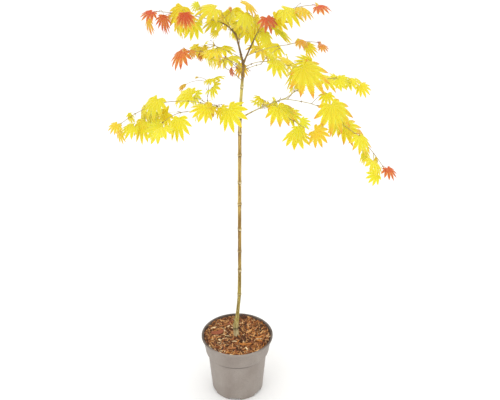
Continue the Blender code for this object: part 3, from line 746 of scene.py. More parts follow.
trunk = {
    # height above the mulch, lean to +X, radius
    "stations": (
        (0.000, -0.0025, 0.0086),
        (0.009, -0.0027, 0.0070),
        (0.031, -0.0034, 0.0074),
        (0.051, -0.0015, 0.0064),
        (0.075, 0.0015, 0.0049),
        (0.145, 0.0068, 0.0046),
        (0.445, 0.0092, 0.0043),
        (0.620, 0.0113, 0.0041),
        (0.655, 0.0130, 0.0036),
        (0.745, 0.0200, 0.0031),
    ),
    "step": 0.025,
    "nodes": (0.135, 0.209, 0.265, 0.328, 0.398, 0.457, 0.528, 0.583, 0.620, 0.695),
    "nodeSwell": 0.0006,
    "nodeLength": 0.005,
    "flareRings": (0.005, 0.010),
    "leastSpacing": 0.004,
    "sides": 48,
    "cutsAlong": (100, 4),
    "sinksIn": 0.002,
    "fullReliefFrom": 0.0045,
    "leastRelief": 0.5,
    # relief of the bark: depth, and how fine it is round the trunk and along it
    "grain": ((0.00028, 2.4, 16), (0.00014, 6, 60), (0.00008, 11, 240)),
    "rootRidges": (0.0009, 0.008, 4, 0.6),
    # leaves stood in pairs at the nodes, each pair a quarter turn from the last
    "firstNodeTurn": 20,
    "nodeReach": 0.02,
    "nodeWaves": 0.0012,
    # rows of strength, how far below and width: the rings, the painted shade in the creases and the scars of
    # a node
    "nodeRings": ((0.00034, 0, 0.0011), (-0.00026, 0.0024, 0.0009)),
    "nodeCreaseShades": ((0.9, 0.0030, 0.0013), (0.6, -0.0034, 0.0011)),
    "leafScarWidth": (0.55, 0.60),
    "leafScarRelief": ((0.0007, -0.0012, 0.0022),),
    "leafScar": ((0.95, -0.0008, 0.0024),),
    "ringScar": ((0.35, 0, 0.0009),),
    # the graft: a rounded union with a dark line round it, and painted shade in its groove
    "graftHeight": 0.030,
    "graftTilt": (0.0016, 2.4),
    "graftRings": ((0.0003, -0.003, 0.0026), (-0.0004, 0, 0.0011)),
    "graftCreaseShades": ((0.75, 0, 0.0014), (0.35, 0.004, 0.003)),
    # scattered pale pores: how fine, from which noise up, how sharp and how pale
    "pores": (9, 130, 0.44, 8, 0.8),
    # height above the ground, and the colours of the light and the dark streaks
    "colours": (
        (0.157, (204, 192, 148), (170, 156, 114)),
        (0.185, (210, 198, 152), (174, 158, 114)),
        (0.191, (128, 120, 84), (90, 82, 54)),
        (0.197, (194, 178, 120), (148, 130, 80)),
        (0.218, (180, 164, 88), (134, 118, 54)),
        (0.300, (170, 150, 66), (116, 98, 34)),
        (0.420, (164, 132, 58), (114, 82, 34)),
        (0.520, (180, 146, 68), (130, 98, 40)),
        (0.640, (206, 176, 100), (132, 98, 42)),
        (0.745, (224, 192, 106), (134, 98, 42)),
        (0.790, (234, 218, 118), (162, 138, 58)),
        (0.864, (230, 216, 122), (148, 126, 58)),
        (0.880, (148, 114, 62), (106, 78, 42)),
    ),
    "scarColour": (240, 222, 172),
    # painted shade in the creases
    "creaseShadeColour": (66, 48, 30),
    # fineness of the long streaks and of the blotches, and how they darken the bark
    "streaks": 260,
    "streaksDarken": ((0.42, 0), (0.60, 255)),
    "blotches": 70,
    "blotchesDarken": ((0.44, 0), (0.66, 188)),
    "shine": 0.35,
    "gloss": (0.42, 0.7),
    "bump": (0.35, 0.0004),
}


def trunkAt(height):
    # smooth line through the stations: where the trunk is and how thick
    above = height - soilLevel
    stations = trunk["stations"]
    place = max(i for i in range(len(stations) - 1) if stations[i][0] <= above + 1e-9)
    before = stations[max(place - 1, 0)]
    low = stations[place]
    high = stations[place + 1]
    beyond = stations[min(place + 2, len(stations) - 1)]
    long = high[0] - low[0]
    share = (above - low[0]) / long
    square = share * share
    cube = square * share
    values = []
    for column in (1, 2):
        slopeLow = (high[column] - before[column]) / (high[0] - before[0]) * long
        slopeHigh = (beyond[column] - low[column]) / (beyond[0] - low[0]) * long
        values.append(
            (2 * cube - 3 * square + 1) * low[column] + (cube - 2 * square + share) * slopeLow
            + (3 * square - 2 * cube) * high[column] + (cube - square) * slopeHigh
        )
    lean, radius = values
    radius += sum(trunk["nodeSwell"] * hump(above - node, trunk["nodeLength"]) for node in trunk["nodes"])
    return Vector((lean, 0, height)), radius


def trunkLine():
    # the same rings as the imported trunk, so that limbs leave it at the same places
    top = soilLevel + trunk["stations"][-1][0]
    bottom = soilLevel + gap
    steps = round((top - bottom) / trunk["step"])
    heights = [bottom + (top - bottom) * step / steps for step in range(steps + 1)]
    heights += [soilLevel + node for node in trunk["nodes"]]
    heights += [bottom + ring for ring in trunk["flareRings"]]
    heights.sort()
    spaced = [heights[0]]
    for height in heights[1:]:
        if height - spaced[-1] > trunk["leastSpacing"]:
            spaced.append(height)
    line = [trunkAt(height) for height in spaced]
    return [point for point, _ in line], [radius for _, radius in line]


def angleApart(one, two):
    return abs((one - two + math.pi) % math.tau - math.pi)


def trunkRelief(angle, above):
    # what the bark adds to the radius, and how much of a scar or of painted shade in a crease is there
    ringed = Vector((math.cos(angle), math.sin(angle), 0))
    relief = 0
    for depth, across, along in trunk["grain"]:
        relief += depth * noise.noise(ringed * across + up * above * along)
    depth, width, count, turned = trunk["rootRidges"]
    relief += depth * hump(above, width) * math.cos(count * angle + turned)
    scar = 0
    creaseShade = 0
    for place, node in enumerate(trunk["nodes"]):
        if abs(above - node) > trunk["nodeReach"]:
            continue
        turn = math.radians(trunk["firstNodeTurn"] + 90 * (place % 2))
        beside = min(angleApart(angle, turn), angleApart(angle, turn + math.pi))
        raised, marked = [hump(beside, width) for width in trunk["leafScarWidth"]]
        ring = above - node + trunk["nodeWaves"] * math.cos(2 * (angle - turn))
        relief += sum(humps(ring, trunk["nodeRings"]))
        relief += raised * sum(humps(ring, trunk["leafScarRelief"]))
        scar = max(scar, marked * sum(humps(ring, trunk["leafScar"])), *humps(ring, trunk["ringScar"]))
        creaseShade = max(creaseShade, *humps(ring, trunk["nodeCreaseShades"]))
    tilt, turned = trunk["graftTilt"]
    graft = above - trunk["graftHeight"] + tilt * math.cos(angle + turned)
    relief += sum(humps(graft, trunk["graftRings"]))
    creaseShade = max(creaseShade, *humps(graft, trunk["graftCreaseShades"]))
    across, along, least, sharp, pale = trunk["pores"]
    pore = noise.noise(ringed * across + up * above * along)
    return relief, max(scar, pale * clamp((pore - least) * sharp)), creaseShade


def makeTrunk():
    top = soilLevel + trunk["stations"][-1][0]
    bottom = soilLevel - trunk["sinksIn"]
    deselect()
    bpy.ops.mesh.primitive_cylinder_add(vertices=trunk["sides"], radius=1, depth=1, end_fill_type="NGON")
    piece = bpy.context.object
    piece.name = "trunkBark"
    bpy.ops.object.mode_set(mode="EDIT")
    bpy.ops.mesh.select_mode(type="EDGE")
    for cuts in trunk["cutsAlong"]:
        bpy.ops.mesh.select_all(action="DESELECT")
        shape = bmesh.from_edit_mesh(piece.data)
        for edge in shape.edges:
            edge.select_set(abs(edge.verts[0].co.z - edge.verts[1].co.z) > 1e-4)
        bmesh.update_edit_mesh(piece.data)
        bpy.ops.mesh.subdivide(number_cuts=cuts)
    bpy.ops.object.mode_set(mode="OBJECT")
    for name in ("scar", "creaseShade"):
        piece.data.attributes.new(name, "FLOAT", "POINT")
    marks = [piece.data.attributes[name].data for name in ("scar", "creaseShade")]
    for number, vertex in enumerate(piece.data.vertices):
        angle = math.atan2(vertex.co.y, vertex.co.x)
        height = between(bottom, top, clamp(vertex.co.z + 0.5))
        middle, radius = trunkAt(max(height, soilLevel))
        relief, marks[0][number].value, marks[1][number].value = trunkRelief(angle, height - soilLevel)
        radius += relief * clamp(radius / trunk["fullReliefFrom"], trunk["leastRelief"], 1)
        vertex.co = (middle.x + radius * math.cos(angle), radius * math.sin(angle), height)
    piece.data.update()
    piece.data.shade_smooth()
    setMaterials(piece, trunkBark())
    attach(piece, "root")
    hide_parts("trunk")
    print("trunk stands, with its graft and nodes")


def trunkBark():
    rows = trunk["colours"]
    material = newMaterial("maple bark", rows[3][1], 0.55, trunk["shine"])
    light = rampAlong(material, "Z", [(height, pale) for height, pale, _ in rows])
    dark = rampAlong(material, "Z", [(height, deep) for height, _, deep in rows])
    streaks = noiseOf(material, trunk["streaks"], 5, (1, 1, 0.05))
    blotches = noiseOf(material, trunk["blotches"], 4, (1, 1, 0.35))
    colour = mixColours(material, ramp(material, streaks, trunk["streaksDarken"]), light, dark)
    colour = mixColours(material, ramp(material, blotches, trunk["blotchesDarken"]), colour, dark)
    # painted shade darkens the creases at the nodes and the graft; the scars are paler
    for name in ("creaseShade", "scar"):
        mark = addNode(material, "ShaderNodeAttribute", attribute_name=name).outputs["Fac"]
        colour = mixColours(material, mark, colour, paint(*trunk[f"{name}Colour"]))
    feedShader(material, Base_Color=colour)
    addGloss(material, blotches, *trunk["gloss"])
    addBump(material, streaks, *trunk["bump"])
    return material


# Limbs: each grows from its parent along an arched line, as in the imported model

# parent, where it leaves the parent (a height on the trunk, else a share of its length, and 1
# is the tip), its own tip, its arch, and the radii at its two ends
limbs = {
    "bough_lower_right": ("trunk", 0.782, (0.118, 0, 0.831), 0.003, (0.0023, 0.0015)),
    "bough_lower_right_rising": ("bough_lower_right", 1, (0.205, 0.058, 0.857), 0.006, (0.0014, 0.0011)),
    "bough_lower_right_outer": ("bough_lower_right", 0.93, (0.175, -0.016, 0.822), 0.001, (0.0013, 0.0011)),
    "bough_lower_right_tail": ("bough_lower_right_outer", 1, (0.245, -0.075, 0.789), 0.006, (0.0011, 0.001)),
    "bough_lower_right_side": ("bough_lower_right", 0.36, (0.078, -0.018, 0.812), 0.001, (0.0012, 0.001)),
    "bough_front_right": ("bough_lower_right", 0.5, (0.124, -0.06, 0.8), 0.002, (0.0013, 0.001)),
    "bough_lower_left": ("trunk", 0.784, (-0.054, -0.014, 0.816), 0.003, (0.0021, 0.0015)),
    "bough_lower_left_outer": ("bough_lower_left", 1, (-0.125, -0.018, 0.829), 0.004, (0.0014, 0.0011)),
    "bough_lower_left_inner": ("bough_lower_left", 0.9, (-0.105, -0.055, 0.816), -0.002, (0.0013, 0.001)),
    "bough_left_rising": ("bough_lower_left_outer", 0.12, (-0.063, 0.006, 0.831), 0, (0.0011, 0.0009)),
    "leader_left": ("trunk", 1, (0.004, 0, 0.976), 0, (0.0026, 0.0018)),
    "leader_right": ("leader_left", 0.03, (0.044, -0.012, 0.968), 0.001, (0.002, 0.0014)),
    "bough_fork_right_low": ("trunk", 0.9, (0.056, 0.002, 0.914), 0.002, (0.0014, 0.0011)),
    "bough_fork_right_high": ("leader_right", 0.22, (0.118, 0.02, 0.948), 0.004, (0.0013, 0.001)),
    "bough_fork_left_low": ("trunk", 0.899, (-0.01, -0.01, 0.92), 0.001, (0.0014, 0.0011)),
    "bough_fork_left_high": ("leader_left", 0.22, (-0.036, 0.028, 0.94), 0.001, (0.0012, 0.001)),
    "bough_top_left": ("leader_left", 1, (-0.029, -0.008, 1.004), 0.003, (0.0018, 0.0011)),
    "bough_top_right": ("leader_right", 0.9, (0.074, 0.016, 1.006), 0.006, (0.0013, 0.0011)),
    "bough_back_top": ("leader_left", 0.62, (0.014, 0.07, 0.968), 0.003, (0.0013, 0.001)),
    "bough_back_mid_right": ("trunk", 0.894, (0.06, 0.08, 0.888), 0.002, (0.0013, 0.001)),
    "bough_back_mid_left": ("trunk", 0.87, (-0.022, 0.08, 0.878), 0.003, (0.0013, 0.001)),
    "bough_back_low_right": ("trunk", 0.779, (0.128, 0.112, 0.794), 0.007, (0.0017, 0.0011)),
    "bough_back_low_left": ("trunk", 0.772, (-0.07, 0.1, 0.784), 0.004, (0.0017, 0.0011)),
}
growth = {
    "limbSteps": 6,
    "stemSteps": 5,
    "stemRadii": (0.0011, 0.0008),
    "firstPairAt": 0.25,
    "lastPairAt": 0.97,
    "limbSides": 12,
    "twigSides": 8,
    "stalkSides": 6,
    "budSides": 6,
    "ringSpacing": 0.0022,
    "nodeSpacing": 0.046,
    "nodePlaceVaries": (0.35, 0.65),
    # the collar at a limb's foot and its nodes: swelling and length
    "collar": (0.28, 0.003),
    "node": (0.14, 0.0020),
    "nodeMark": (0.0010, 0.0010),
    "markedFrom": 0.55,
    "cornersRound": 0.125,
    "rootsIn": 0.35,
    "rootWider": 1.02,
    "wobble": (0.07, 1.6, 0.35),
    # how often a spur stands where a pair has dropped, its length and radii
    "spurShare": 0.10,
    "spurLength": (0.006, 0.013),
    "spurRadii": (0.0009, 0.0007, 0.0006),
    "spurLift": 0.0005,
    # sideways and forward parts of the way that a spur and a bud point
    "spurLean": (0.8, 0.7),
    "budLean": (0.6, 0.8),
    "budFoot": 0.7,
    # length and radius of the buds
    "spurBud": (0.0042, 0.0010),
    "sideBud": (0.0028, 0.0008),
    "axilBud": (0.0026, 0.0007),
    "shootBud": (0.0026, 0.0006),
    "endBud": (0.0040, 0.0009),
    "budProfile": ((0, 0.6), (0.15, 0.95), (0.45, 1.0), (0.75, 0.62), (1.0, 0.10)),
    # the finished bark is slimmer and paler on all but the limbs at the top
    "brownLimbs": ("leader_left", "leader_right", "bough_top_left", "bough_top_right"),
    "brownWidth": 1.05,
    "boughWidth": 0.68,
    "stemWidth": 0.80,
    # where on the noise a shade of the bark lies, and its colour
    "paleBark": ((0.35, (166, 146, 92)), (0.52, (194, 180, 120)), (0.72, (196, 192, 120))),
    "brownBark": ((0.35, (90, 66, 32)), (0.52, (122, 94, 46)), (0.72, (148, 122, 60))),
    "clouds": 150,
    "grain": 900,
    "gloss": (0.45, 0.75),
    "bump": (0.4, 0.0003),
    "nodeColour": (118, 92, 54),
    "budColour": (112, 50, 40),
    "smoothAngle": 50,
}


def archedLine(start, tip, arch, steps):
    shares = [step / steps for step in range(steps + 1)]
    return [start.lerp(tip, share) + up * arch * 4 * share * (1 - share) for share in shares]


def shareOfTrunk(points, height):
    for index, (low, high) in enumerate(zip(points, points[1:])):
        if low.z <= height <= high.z:
            return (index + (height - low.z) / (high.z - low.z)) / (len(points) - 1)
    return 1


def growLimb(lines, parent, at, tip, arch, radii, steps):
    # a limb's points and radii, and the point on its parent's own line where it is rooted
    points, parentRadii = lines[parent]
    if parent == "trunk" and at != 1:
        at = shareOfTrunk(points, at)
    tip = Vector(tip)
    root, parentWay = pointOn(points, at)
    way = (tip - root + 4 * arch * up).normalized()
    turn = way.angle(parentWay)
    if at == 1:
        start = root + way * (gap + radii[0] * math.sin(turn)) / math.cos(turn)
    else:
        clear = valueOn(parentRadii, at) + gap + radii[0] * abs(math.cos(turn))
        start = root + way * clear / math.sin(turn)
    return archedLine(start, tip, arch, steps), taper(radii, steps + 1), root


def tube(points, radii, sides, wobble=None):
    vertices = []
    behind = [points[0], *points[:-1]]
    beyond = [*points[1:], points[-1]]
    ways = [(after - before).normalized() for before, after in zip(behind, beyond)]
    sideWay = ways[0].orthogonal().normalized()
    for number, (point, way, radius) in enumerate(zip(points, ways, radii)):
        sideWay = (sideWay - way * sideWay.dot(way)).normalized()
        otherWay = way.cross(sideWay)
        for side in range(sides):
            angle = math.tau * side / sides
            out = sideWay * math.cos(angle) + otherWay * math.sin(angle)
            swell = wobble(number, out) if wobble else 1
            vertices.append(point + radius * swell * out)
    return vertices, ringFaces(len(points), sides)


def fineLimb(store, rng, root, points, radii, sides, slots, nodeAt):
    # a limb in relief: it starts inside its parent, with a collar, and swells at each node
    length = sum((after - before).length for before, after in zip(points, points[1:]))
    steps = max(6, round(length / growth["ringSpacing"]))
    line = []
    thick = []
    marks = []
    collarSwell, collarLength = growth["collar"]
    nodeSwell, nodeLength = growth["node"]
    markBelow, markLength = growth["nodeMark"]
    for step in range(steps + 1):
        share = step / steps
        index, part = placeOn(points, share)
        low, high = points[index], points[index + 1]
        before, beyond = points[max(index - 1, 0)], points[min(index + 2, len(points) - 1)]
        # the polyline's corners are rounded a little
        bow = (low + high - before - beyond) * growth["cornersRound"] * part * (1 - part)
        line.append(low.lerp(high, part) + bow)
        radius = valueOn(radii, share) * (1 + collarSwell * hump(share * length, collarLength))
        mark = 0
        for node in nodeAt:
            apart = (share - node) * length
            radius *= 1 + nodeSwell * hump(apart, nodeLength)
            mark = max(mark, hump(apart + markBelow, markLength))
        thick.append(radius)
        marks.append(mark)
    line.insert(0, root.lerp(line[0], growth["rootsIn"]))
    thick.insert(0, thick[0] * growth["rootWider"])
    marks.insert(0, 0)
    seed = rng.uniform(0, 100)

    def wobble(number, out):
        depth, across, along = growth["wobble"]
        return 1 + depth * noise.noise(out * across + up * (seed + number * along))

    faceSlots = [slots[0]]
    for mark in marks[:-1]:
        faceSlots += [slots[mark > growth["markedFrom"]]] * sides
    faceSlots.append(slots[0])
    addShape(store, *tube(line, thick, sides, wobble), faceSlots)


def addBud(store, base, way, size, slot):
    # a pointed bud with its scales drawn in at the neck
    length, radius = size
    points = [base + way * length * share for share, _ in growth["budProfile"]]
    radii = [radius * wide for _, wide in growth["budProfile"]]
    addShape(store, *tube(points, radii, growth["budSides"]), slot)


def addShoot(store, base, tip, lift, radii):
    # a short twig with a slight arch; the way it points is returned
    middle = base.lerp(tip, 0.5) + up * lift
    addShape(store, *tube([base, middle, tip], radii, growth["stalkSides"]), 0)
    return (tip - middle).normalized()


def sidesAt(rng, points, nodeAt, sideOf):
    # the two opposite sides of a limb at each of its nodes
    for node in nodeAt:
        base, way = pointOn(points, node)
        turn = rng.uniform(0, math.pi)
        for half in (0, math.pi):
            yield node, base, way, Matrix.Rotation(turn + half, 3, way) @ sideOf(way).normalized()


def addSpurs(store, rng, points, radii, nodeAt):
    # short side spurs with a bud, or only a bud, left where leaves have dropped
    for node, base, way, out in sidesAt(rng, points, nodeAt, lambda way: way.cross(up)):
        if rng.random() < growth["spurShare"]:
            length = rng.uniform(*growth["spurLength"])
            tip = base + (out * growth["spurLean"][0] + way * growth["spurLean"][1]).normalized() * length
            shoot = addShoot(store, base, tip, growth["spurLift"], growth["spurRadii"])
            addBud(store, tip, shoot, growth["spurBud"], 2)
        else:
            start = base + out * valueOn(radii, node) * growth["budFoot"]
            lean = (out * growth["budLean"][0] + way * growth["budLean"][1]).normalized()
            addBud(store, start, lean, growth["sideBud"], 2)


def barkOf(name, shades):
    bark = newMaterial(name, shades[1][1], 0.55)
    clouds = noiseOf(bark, growth["clouds"], 4, (1, 1, 0.4))
    feedShader(bark, Base_Color=ramp(bark, clouds, shades))
    addGrain(bark, growth["grain"], 4, growth["gloss"], growth["bump"])
    return bark


def makeLimbs(lines, roots):
    store = newStore()
    for name in limbs:
        rng = random.Random(name)
        points, radii = lines[name]
        brown = name in growth["brownLimbs"]
        width = growth["brownWidth" if brown else "boughWidth"]
        radii = [radius * width for radius in radii]
        count = max(1, round((points[-1] - points[0]).length / growth["nodeSpacing"]))
        nodeAt = [(node + rng.uniform(*growth["nodePlaceVaries"])) / count for node in range(count)]
        fineLimb(store, rng, roots[name], points, radii, growth["limbSides"], (3 if brown else 0, 1), nodeAt)
        addSpurs(store, rng, points, radii, nodeAt)
    rings = newMaterial("dark bark ring", growth["nodeColour"], 0.75)
    addGrain(rings, growth["grain"], bump=(0.5, 0.0003))
    buds = newMaterial("limb bud", growth["budColour"], 0.45)
    addGrain(buds, 1200, 3, gloss=(0.35, 0.6))
    materials = [barkOf("bough bark", growth["paleBark"]), rings, buds,
                 barkOf("leader bark", growth["brownBark"])]
    piece = storeToPiece(store, "boughBark", materials, growth["smoothAngle"])
    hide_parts(*limbs)


# Foliage: each mass is a stem with pairs of leaves. It has its limb, where it leaves that (as
# in limbs), its tip and its arch. Each leaf has the length of its blade, its turn about the
# stem from the top side, and its droop. A word for each leaf gives its kind of autumn colour.

masses = {
    "foliage_lower_left_outer": ("bough_lower_left_outer", 1, (-0.261, -0.044, 0.782), 0.014, (
        (0.049, -48, 35), (0.064, 147, 45), (0.054, -174, 46), (0.042, 126, 46),
        (0.05, 102, 72), (0.041, -176, 11), (0.039, 156, 36), (0.025, -73, 29)),
        "lemon lime lemon lemon lemon lemon amber amber"),
    "foliage_lower_left_mid": ("bough_lower_left_inner", 1, (-0.157, -0.087, 0.802), 0.006, (
        (0.05, -116, 53), (0.063, 111, 33), (0.043, -105, 2), (0.052, 150, 8)),
        "lemon lemon lemon lime"),
    "foliage_lower_left_inner": ("bough_lower_left", 0.8, (-0.039, -0.049, 0.826), 0.004, (
        (0.026, 119, 24), (0.029, -138, 38), (0.04, 100, 2), (0.053, -115, 25)),
        "amber gold lemon lemon"),
    "foliage_left_rising": ("bough_left_rising", 1, (-0.059, 0.017, 0.862), 0.001, (
        (0.02, 46, 2), (0.044, 171, 46), (0.022, 43, 2), (0.038, 145, 11)),
        "lime lemon lemon lemon"),
    "foliage_mid_left": ("bough_fork_left_low", 1, (-0.102, -0.02, 0.944), 0.006, (
        (0.038, -69, 2), (0.049, 109, 44), (0.033, 74, 63),
        (0.027, 143, 80), (0.035, 93, 61), (0.042, -109, 41)),
        "gold lemon amber coral coral coral"),
    "foliage_mid_left_high": ("bough_fork_left_high", 1, (-0.067, 0.038, 0.942), 0.004, (
        (0.04, 101, 63), (0.032, -147, 2), (0.035, 125, 43), (0.03, -86, 27)),
        "gold gold lemon gold"),
    "foliage_fork": ("trunk", 0.884, (-0.021, 0.039, 0.916), 0.002, (
        (0.034, 50, 79), (0.022, -113, 80), (0.03, 148, 66), (0.028, -177, 66)),
        "gold rose gold orange"),
    "foliage_top_left": ("bough_top_left", 1, (-0.17, -0.008, 1.027), 0.004, (
        (0.03, 113, 68), (0.042, -138, 32), (0.049, 159, 79), (0.048, -52, 58),
        (0.041, -127, 77), (0.024, 138, 80), (0.029, -102, 14), (0.042, 162, 80)),
        "lemon lime gold gold red coral ember orange"),
    "foliage_top_centre_left": ("leader_left", 0.8, (-0.024, 0.017, 1.012), 0.001, (
        (0.045, 20, 80), (0.035, 118, 58), (0.04, -113, 5),
        (0.046, 63, 36), (0.054, -76, 2), (0.073, 120, 72)),
        "lemon gold lemon lemon lemon gold"),
    "foliage_top_centre": ("leader_left", 0.78, (0.033, 0.003, 1.019), 0.004, (
        (0.03, 51, 2), (0.035, -102, 6), (0.045, 53, 35),
        (0.045, -155, 49), (0.033, 4, 3), (0.046, 62, 25)),
        "gold lemon lemon gold amber gold"),
    "foliage_top_right_inner": ("leader_right", 1, (0.067, -0.018, 1.01), 0.002, (
        (0.039, 138, 76), (0.041, -97, 53), (0.036, 96, 41), (0.04, -151, 34)),
        "lemon lemon ember gold"),
    "foliage_top_right": ("bough_top_right", 1, (0.172, 0.002, 1.039), 0.006, (
        (0.049, 80, 20), (0.039, -97, 4), (0.038, 114, 22),
        (0.036, -139, 70), (0.031, 108, 2), (0.028, -116, 16)),
        "lemon lemon amber amber ember orange"),
    "foliage_right_upper": ("bough_fork_right_high", 1, (0.188, 0.022, 0.953), 0.004, (
        (0.024, 69, 8), (0.029, -62, 80), (0.02, 129, 15), (0.024, -100, 73)),
        "orange amber coral coral"),
    "foliage_mid_right": ("bough_fork_right_low", 1, (0.121, 0.011, 0.903), 0.004, (
        (0.043, 96, 27), (0.049, -98, 6), (0.073, 80, 25), (0.074, -122, 67)),
        "lemon lemon edged lemon"),
    "foliage_mid_right_outer": ("bough_lower_right_rising", 1, (0.285, 0.071, 0.841), 0.008, (
        (0.034, 96, 14), (0.044, -137, 2), (0.034, 77, 2),
        (0.046, -107, 17), (0.032, 85, 16), (0.032, -65, 9)),
        "lemon edged lemon gold gold lemon"),
    "foliage_lower_right_inner": ("bough_lower_right_side", 1, (0.106, -0.026, 0.819), 0.002, (
        (0.052, 97, 26), (0.049, -140, 76), (0.028, 101, 20), (0.038, 176, 11)),
        "edged lemon lemon lemon"),
    "foliage_lower_right_upper": ("bough_lower_right", 0.44, (0.07, 0.036, 0.812), 0.001, (
        (0.034, 165, 2), (0.028, -113, 15), (0.031, 118, 43), (0.027, -101, 27)),
        "gold lemon lemon gold"),
    "foliage_front_right": ("bough_front_right", 1, (0.15, -0.111, 0.799), 0.002, (
        (0.03, -107, 7), (0.045, 158, 9), (0.041, 81, 64), (0.047, -124, 31)),
        "lime lemon lemon amber"),
    "foliage_lower_right_mid": ("bough_lower_right_tail", 0.12, (0.233, -0.039, 0.812), 0.003, (
        (0.066, 77, 38), (0.066, -155, 58), (0.056, -166, 10), (0.038, -111, 34)),
        "edged lemon edged lime"),
    "foliage_lower_right_tail": ("bough_lower_right_tail", 1, (0.333, -0.11, 0.704), 0.01, (
        (0.044, 77, 32), (0.047, -116, 36), (0.034, 108, 80), (0.044, -174, 17),
        (0.042, 107, 17), (0.055, -125, 80), (0.034, 179, 13), (0.028, 53, 24)),
        "edged orange lemon lemon lemon gold lemon red"),
    "foliage_back_low_right": ("bough_back_low_right", 1, (0.186, 0.164, 0.829), 0.006, (
        (0.032, 4, 2), (0.036, -56, 50), (0.056, 107, 7), (0.051, -108, 5)),
        "gold gold edged lemon"),
    "foliage_back_low_left": ("bough_back_low_left", 1, (-0.115, 0.176, 0.773), 0.006, (
        (0.056, 157, 31), (0.049, -72, 3), (0.049, 70, 52), (0.045, -47, 23)),
        "lemon lemon lime gold"),
    "foliage_back_mid_right": ("bough_back_mid_right", 1, (0.107, 0.164, 0.906), 0.005, (
        (0.052, 139, 9), (0.054, -69, 26), (0.053, 176, 61), (0.063, -103, 49)),
        "lemon gold lemon lemon"),
    "foliage_back_mid_left": ("bough_back_mid_left", 1, (-0.047, 0.146, 0.91), 0.005, (
        (0.062, 130, 19), (0.043, -45, 42), (0.051, 121, 32), (0.039, -151, 68)),
        "lemon gold lemon lemon"),
    "foliage_back_top": ("bough_back_top", 1, (0.005, 0.174, 0.97), 0.006, (
        (0.057, 147, 46), (0.053, -105, 15), (0.047, 120, 12),
        (0.061, -39, 46), (0.036, 91, 20), (0.035, -160, 80)),
        "lemon gold lemon lemon gold lemon"),
}

leaf = {
    "lobeAngles": (0, 26, 52, 79, 108),
    "lobeLengths": (1.0, 0.98, 0.92, 0.78, 0.46),
    "umbrella": 0.24,
    "tipsHang": 0.13,
    "stalkLength": 0.62,
    "stalkSideways": 0.85,
    "stalkForward": 0.60,
    "stalkLift": 0.40,
    "stalkSag": 0.14,
    "stalkVaries": (0.85, 1.20),
    "lengthVaries": (0.92, 1.08),
    "turnVaries": 10,
    "droopVaries": 6,
    "rollVaries": 16,
    "stemIsUpright": 0.3,
    "crownAxis": 0.015,
    "outwardPull": 0.4,
    "shadedLoss": 0.32,
    "foldsAboveDroop": 42,
    "foldPerDegree": 0.015,
    "tries": 24,
    "eachTryLooser": 0.12,
    "eachTryLifts": 0.06,
    "liesWithin": 0.0004,
    "lightFromAbove": 0.55,
    "lightFromOutside": 0.35,
    "lightFromFront": 0.55,
    # what only the finished blade has
    "stalkRadius": (0.00062, 0.00042),
    "stalkSteps": 8,
    "stalkBehind": 0.0002,
    "sinus": 0.53,
    "foldedSinus": 0.42,
    "foldedBelow": 0.80,
    "lobeWidens": 1.8,
    "lobeNarrows": 1.1,
    "foldedLobesPart": 0.03,
    "foldedLobesNarrow": 0.4,
    "foldsOver": 3,
    "basalSpread": 22,
    "innerRows": 4,
    "teeth": 7,
    "toothDepth": (-0.04, 0.10),
    "toothForward": 0.9,
    "thickness": 0.0045,
    "veinWidth": 0.006,
    "mostVein": 0.3,
    "veinSinks": 0.005,
    "veinLower": 1.4,
    "pleat": 0.030,
    "lobePleat": 0.9,
    # from the vein to the edge: where the third column lies, and how the pleat rises
    "halfWay": 0.55,
    "pleatRises": (0, 0.10, 0.72, 1),
    "edgeWave": (0.012, 9),
    "tipCurl": (-0.02, 0.07),
    "lobeLoss": 0.05,
    "smoothAngle": 40,
    # from where to where a lobe turns to the colour of its tip, and how late; in a leaf of
    # three tones the same, by the true share of the lobe
    "turnsOver": (0.30, 0.62, 1.4),
    "threeTonesOver": (0.12, 0.66),
    # how the colours differ within a leaf, in steps of the scale of tints
    "leafVaries": 0.4,
    "lobesVary": 0.35,
    "turnedLobesVary": 0.9,
    "turnedFrom": 4.5,
    "rimRedder": 0.30,
    "rimRedderFrom": 3.2,
    "tintSpots": 0.45,
    "spotFineness": (0.7, 3.1, 0.5),
    "veinPaler": 0.5,
    "veinPalerTo": 0.8,
    "undersidePaler": 0.2,
    # gloss and light that comes through the thin blade
    "shine": 0.30,
    "gloss": (0.38, 0.6),
    # number, slant and stretch of the fine veins that run to the edge
    "sideVeins": (7, -12, 0.35),
    "veinsWaver": 0.4,
    "bump": (0.25, 0.0004),
    "lightThrough": 0.8,
    "lightSpread": (1.0, 0.8, 0.25),
    "lightDepth": 0.0012,
    # the scale of autumn colours
    "tints": {
        "lime leaf": (198, 194, 48),
        "lemon leaf": (212, 198, 39),
        "yellow leaf": (214, 187, 39),
        "gold leaf": (216, 174, 45),
        "amber leaf": (211, 153, 52),
        "orange leaf": (201, 126, 52),
        "deep orange leaf": (192, 98, 50),
        "coral leaf": (184, 71, 50),
        "red leaf": (172, 54, 46),
        "rose leaf": (180, 58, 72),
    },
    # where each kind of leaf lies on that scale, from its middle to its tips
    "kinds": {
        "lime": (0.4, 1.3),
        "lemon": (1.2, 2.3),
        "gold": (2.2, 3.2),
        "edged": (1.2, 4.4),
        "amber": (3.0, 4.4),
        "orange": (4.2, 5.6),
        "coral": (6.2, 7.2),
        "red": (7.6, 8.2),
        "rose": (8.6, 9.0),
        "ember": (7.4, 5.8),
        "flame": (7.0, 6.6, 1.8),
    },
}
lastLobe = len(leaf["lobeAngles"]) - 1
bladeRows = leaf["innerRows"] + 2 * leaf["teeth"]


def lobeTurn(lobe):
    # lobes are numbered from the middle one, and below 0 on the other side
    return math.copysign(leaf["lobeAngles"][abs(lobe)], lobe)


def lobeLength(lobe):
    return leaf["lobeLengths"][abs(lobe)]


def bladeWay(pose, turn):
    return pose[1] * math.cos(turn) + pose[2] * math.sin(turn)


def bladeBend(pose):
    return pose[3] * leaf["umbrella"] + up * leaf["tipsHang"]


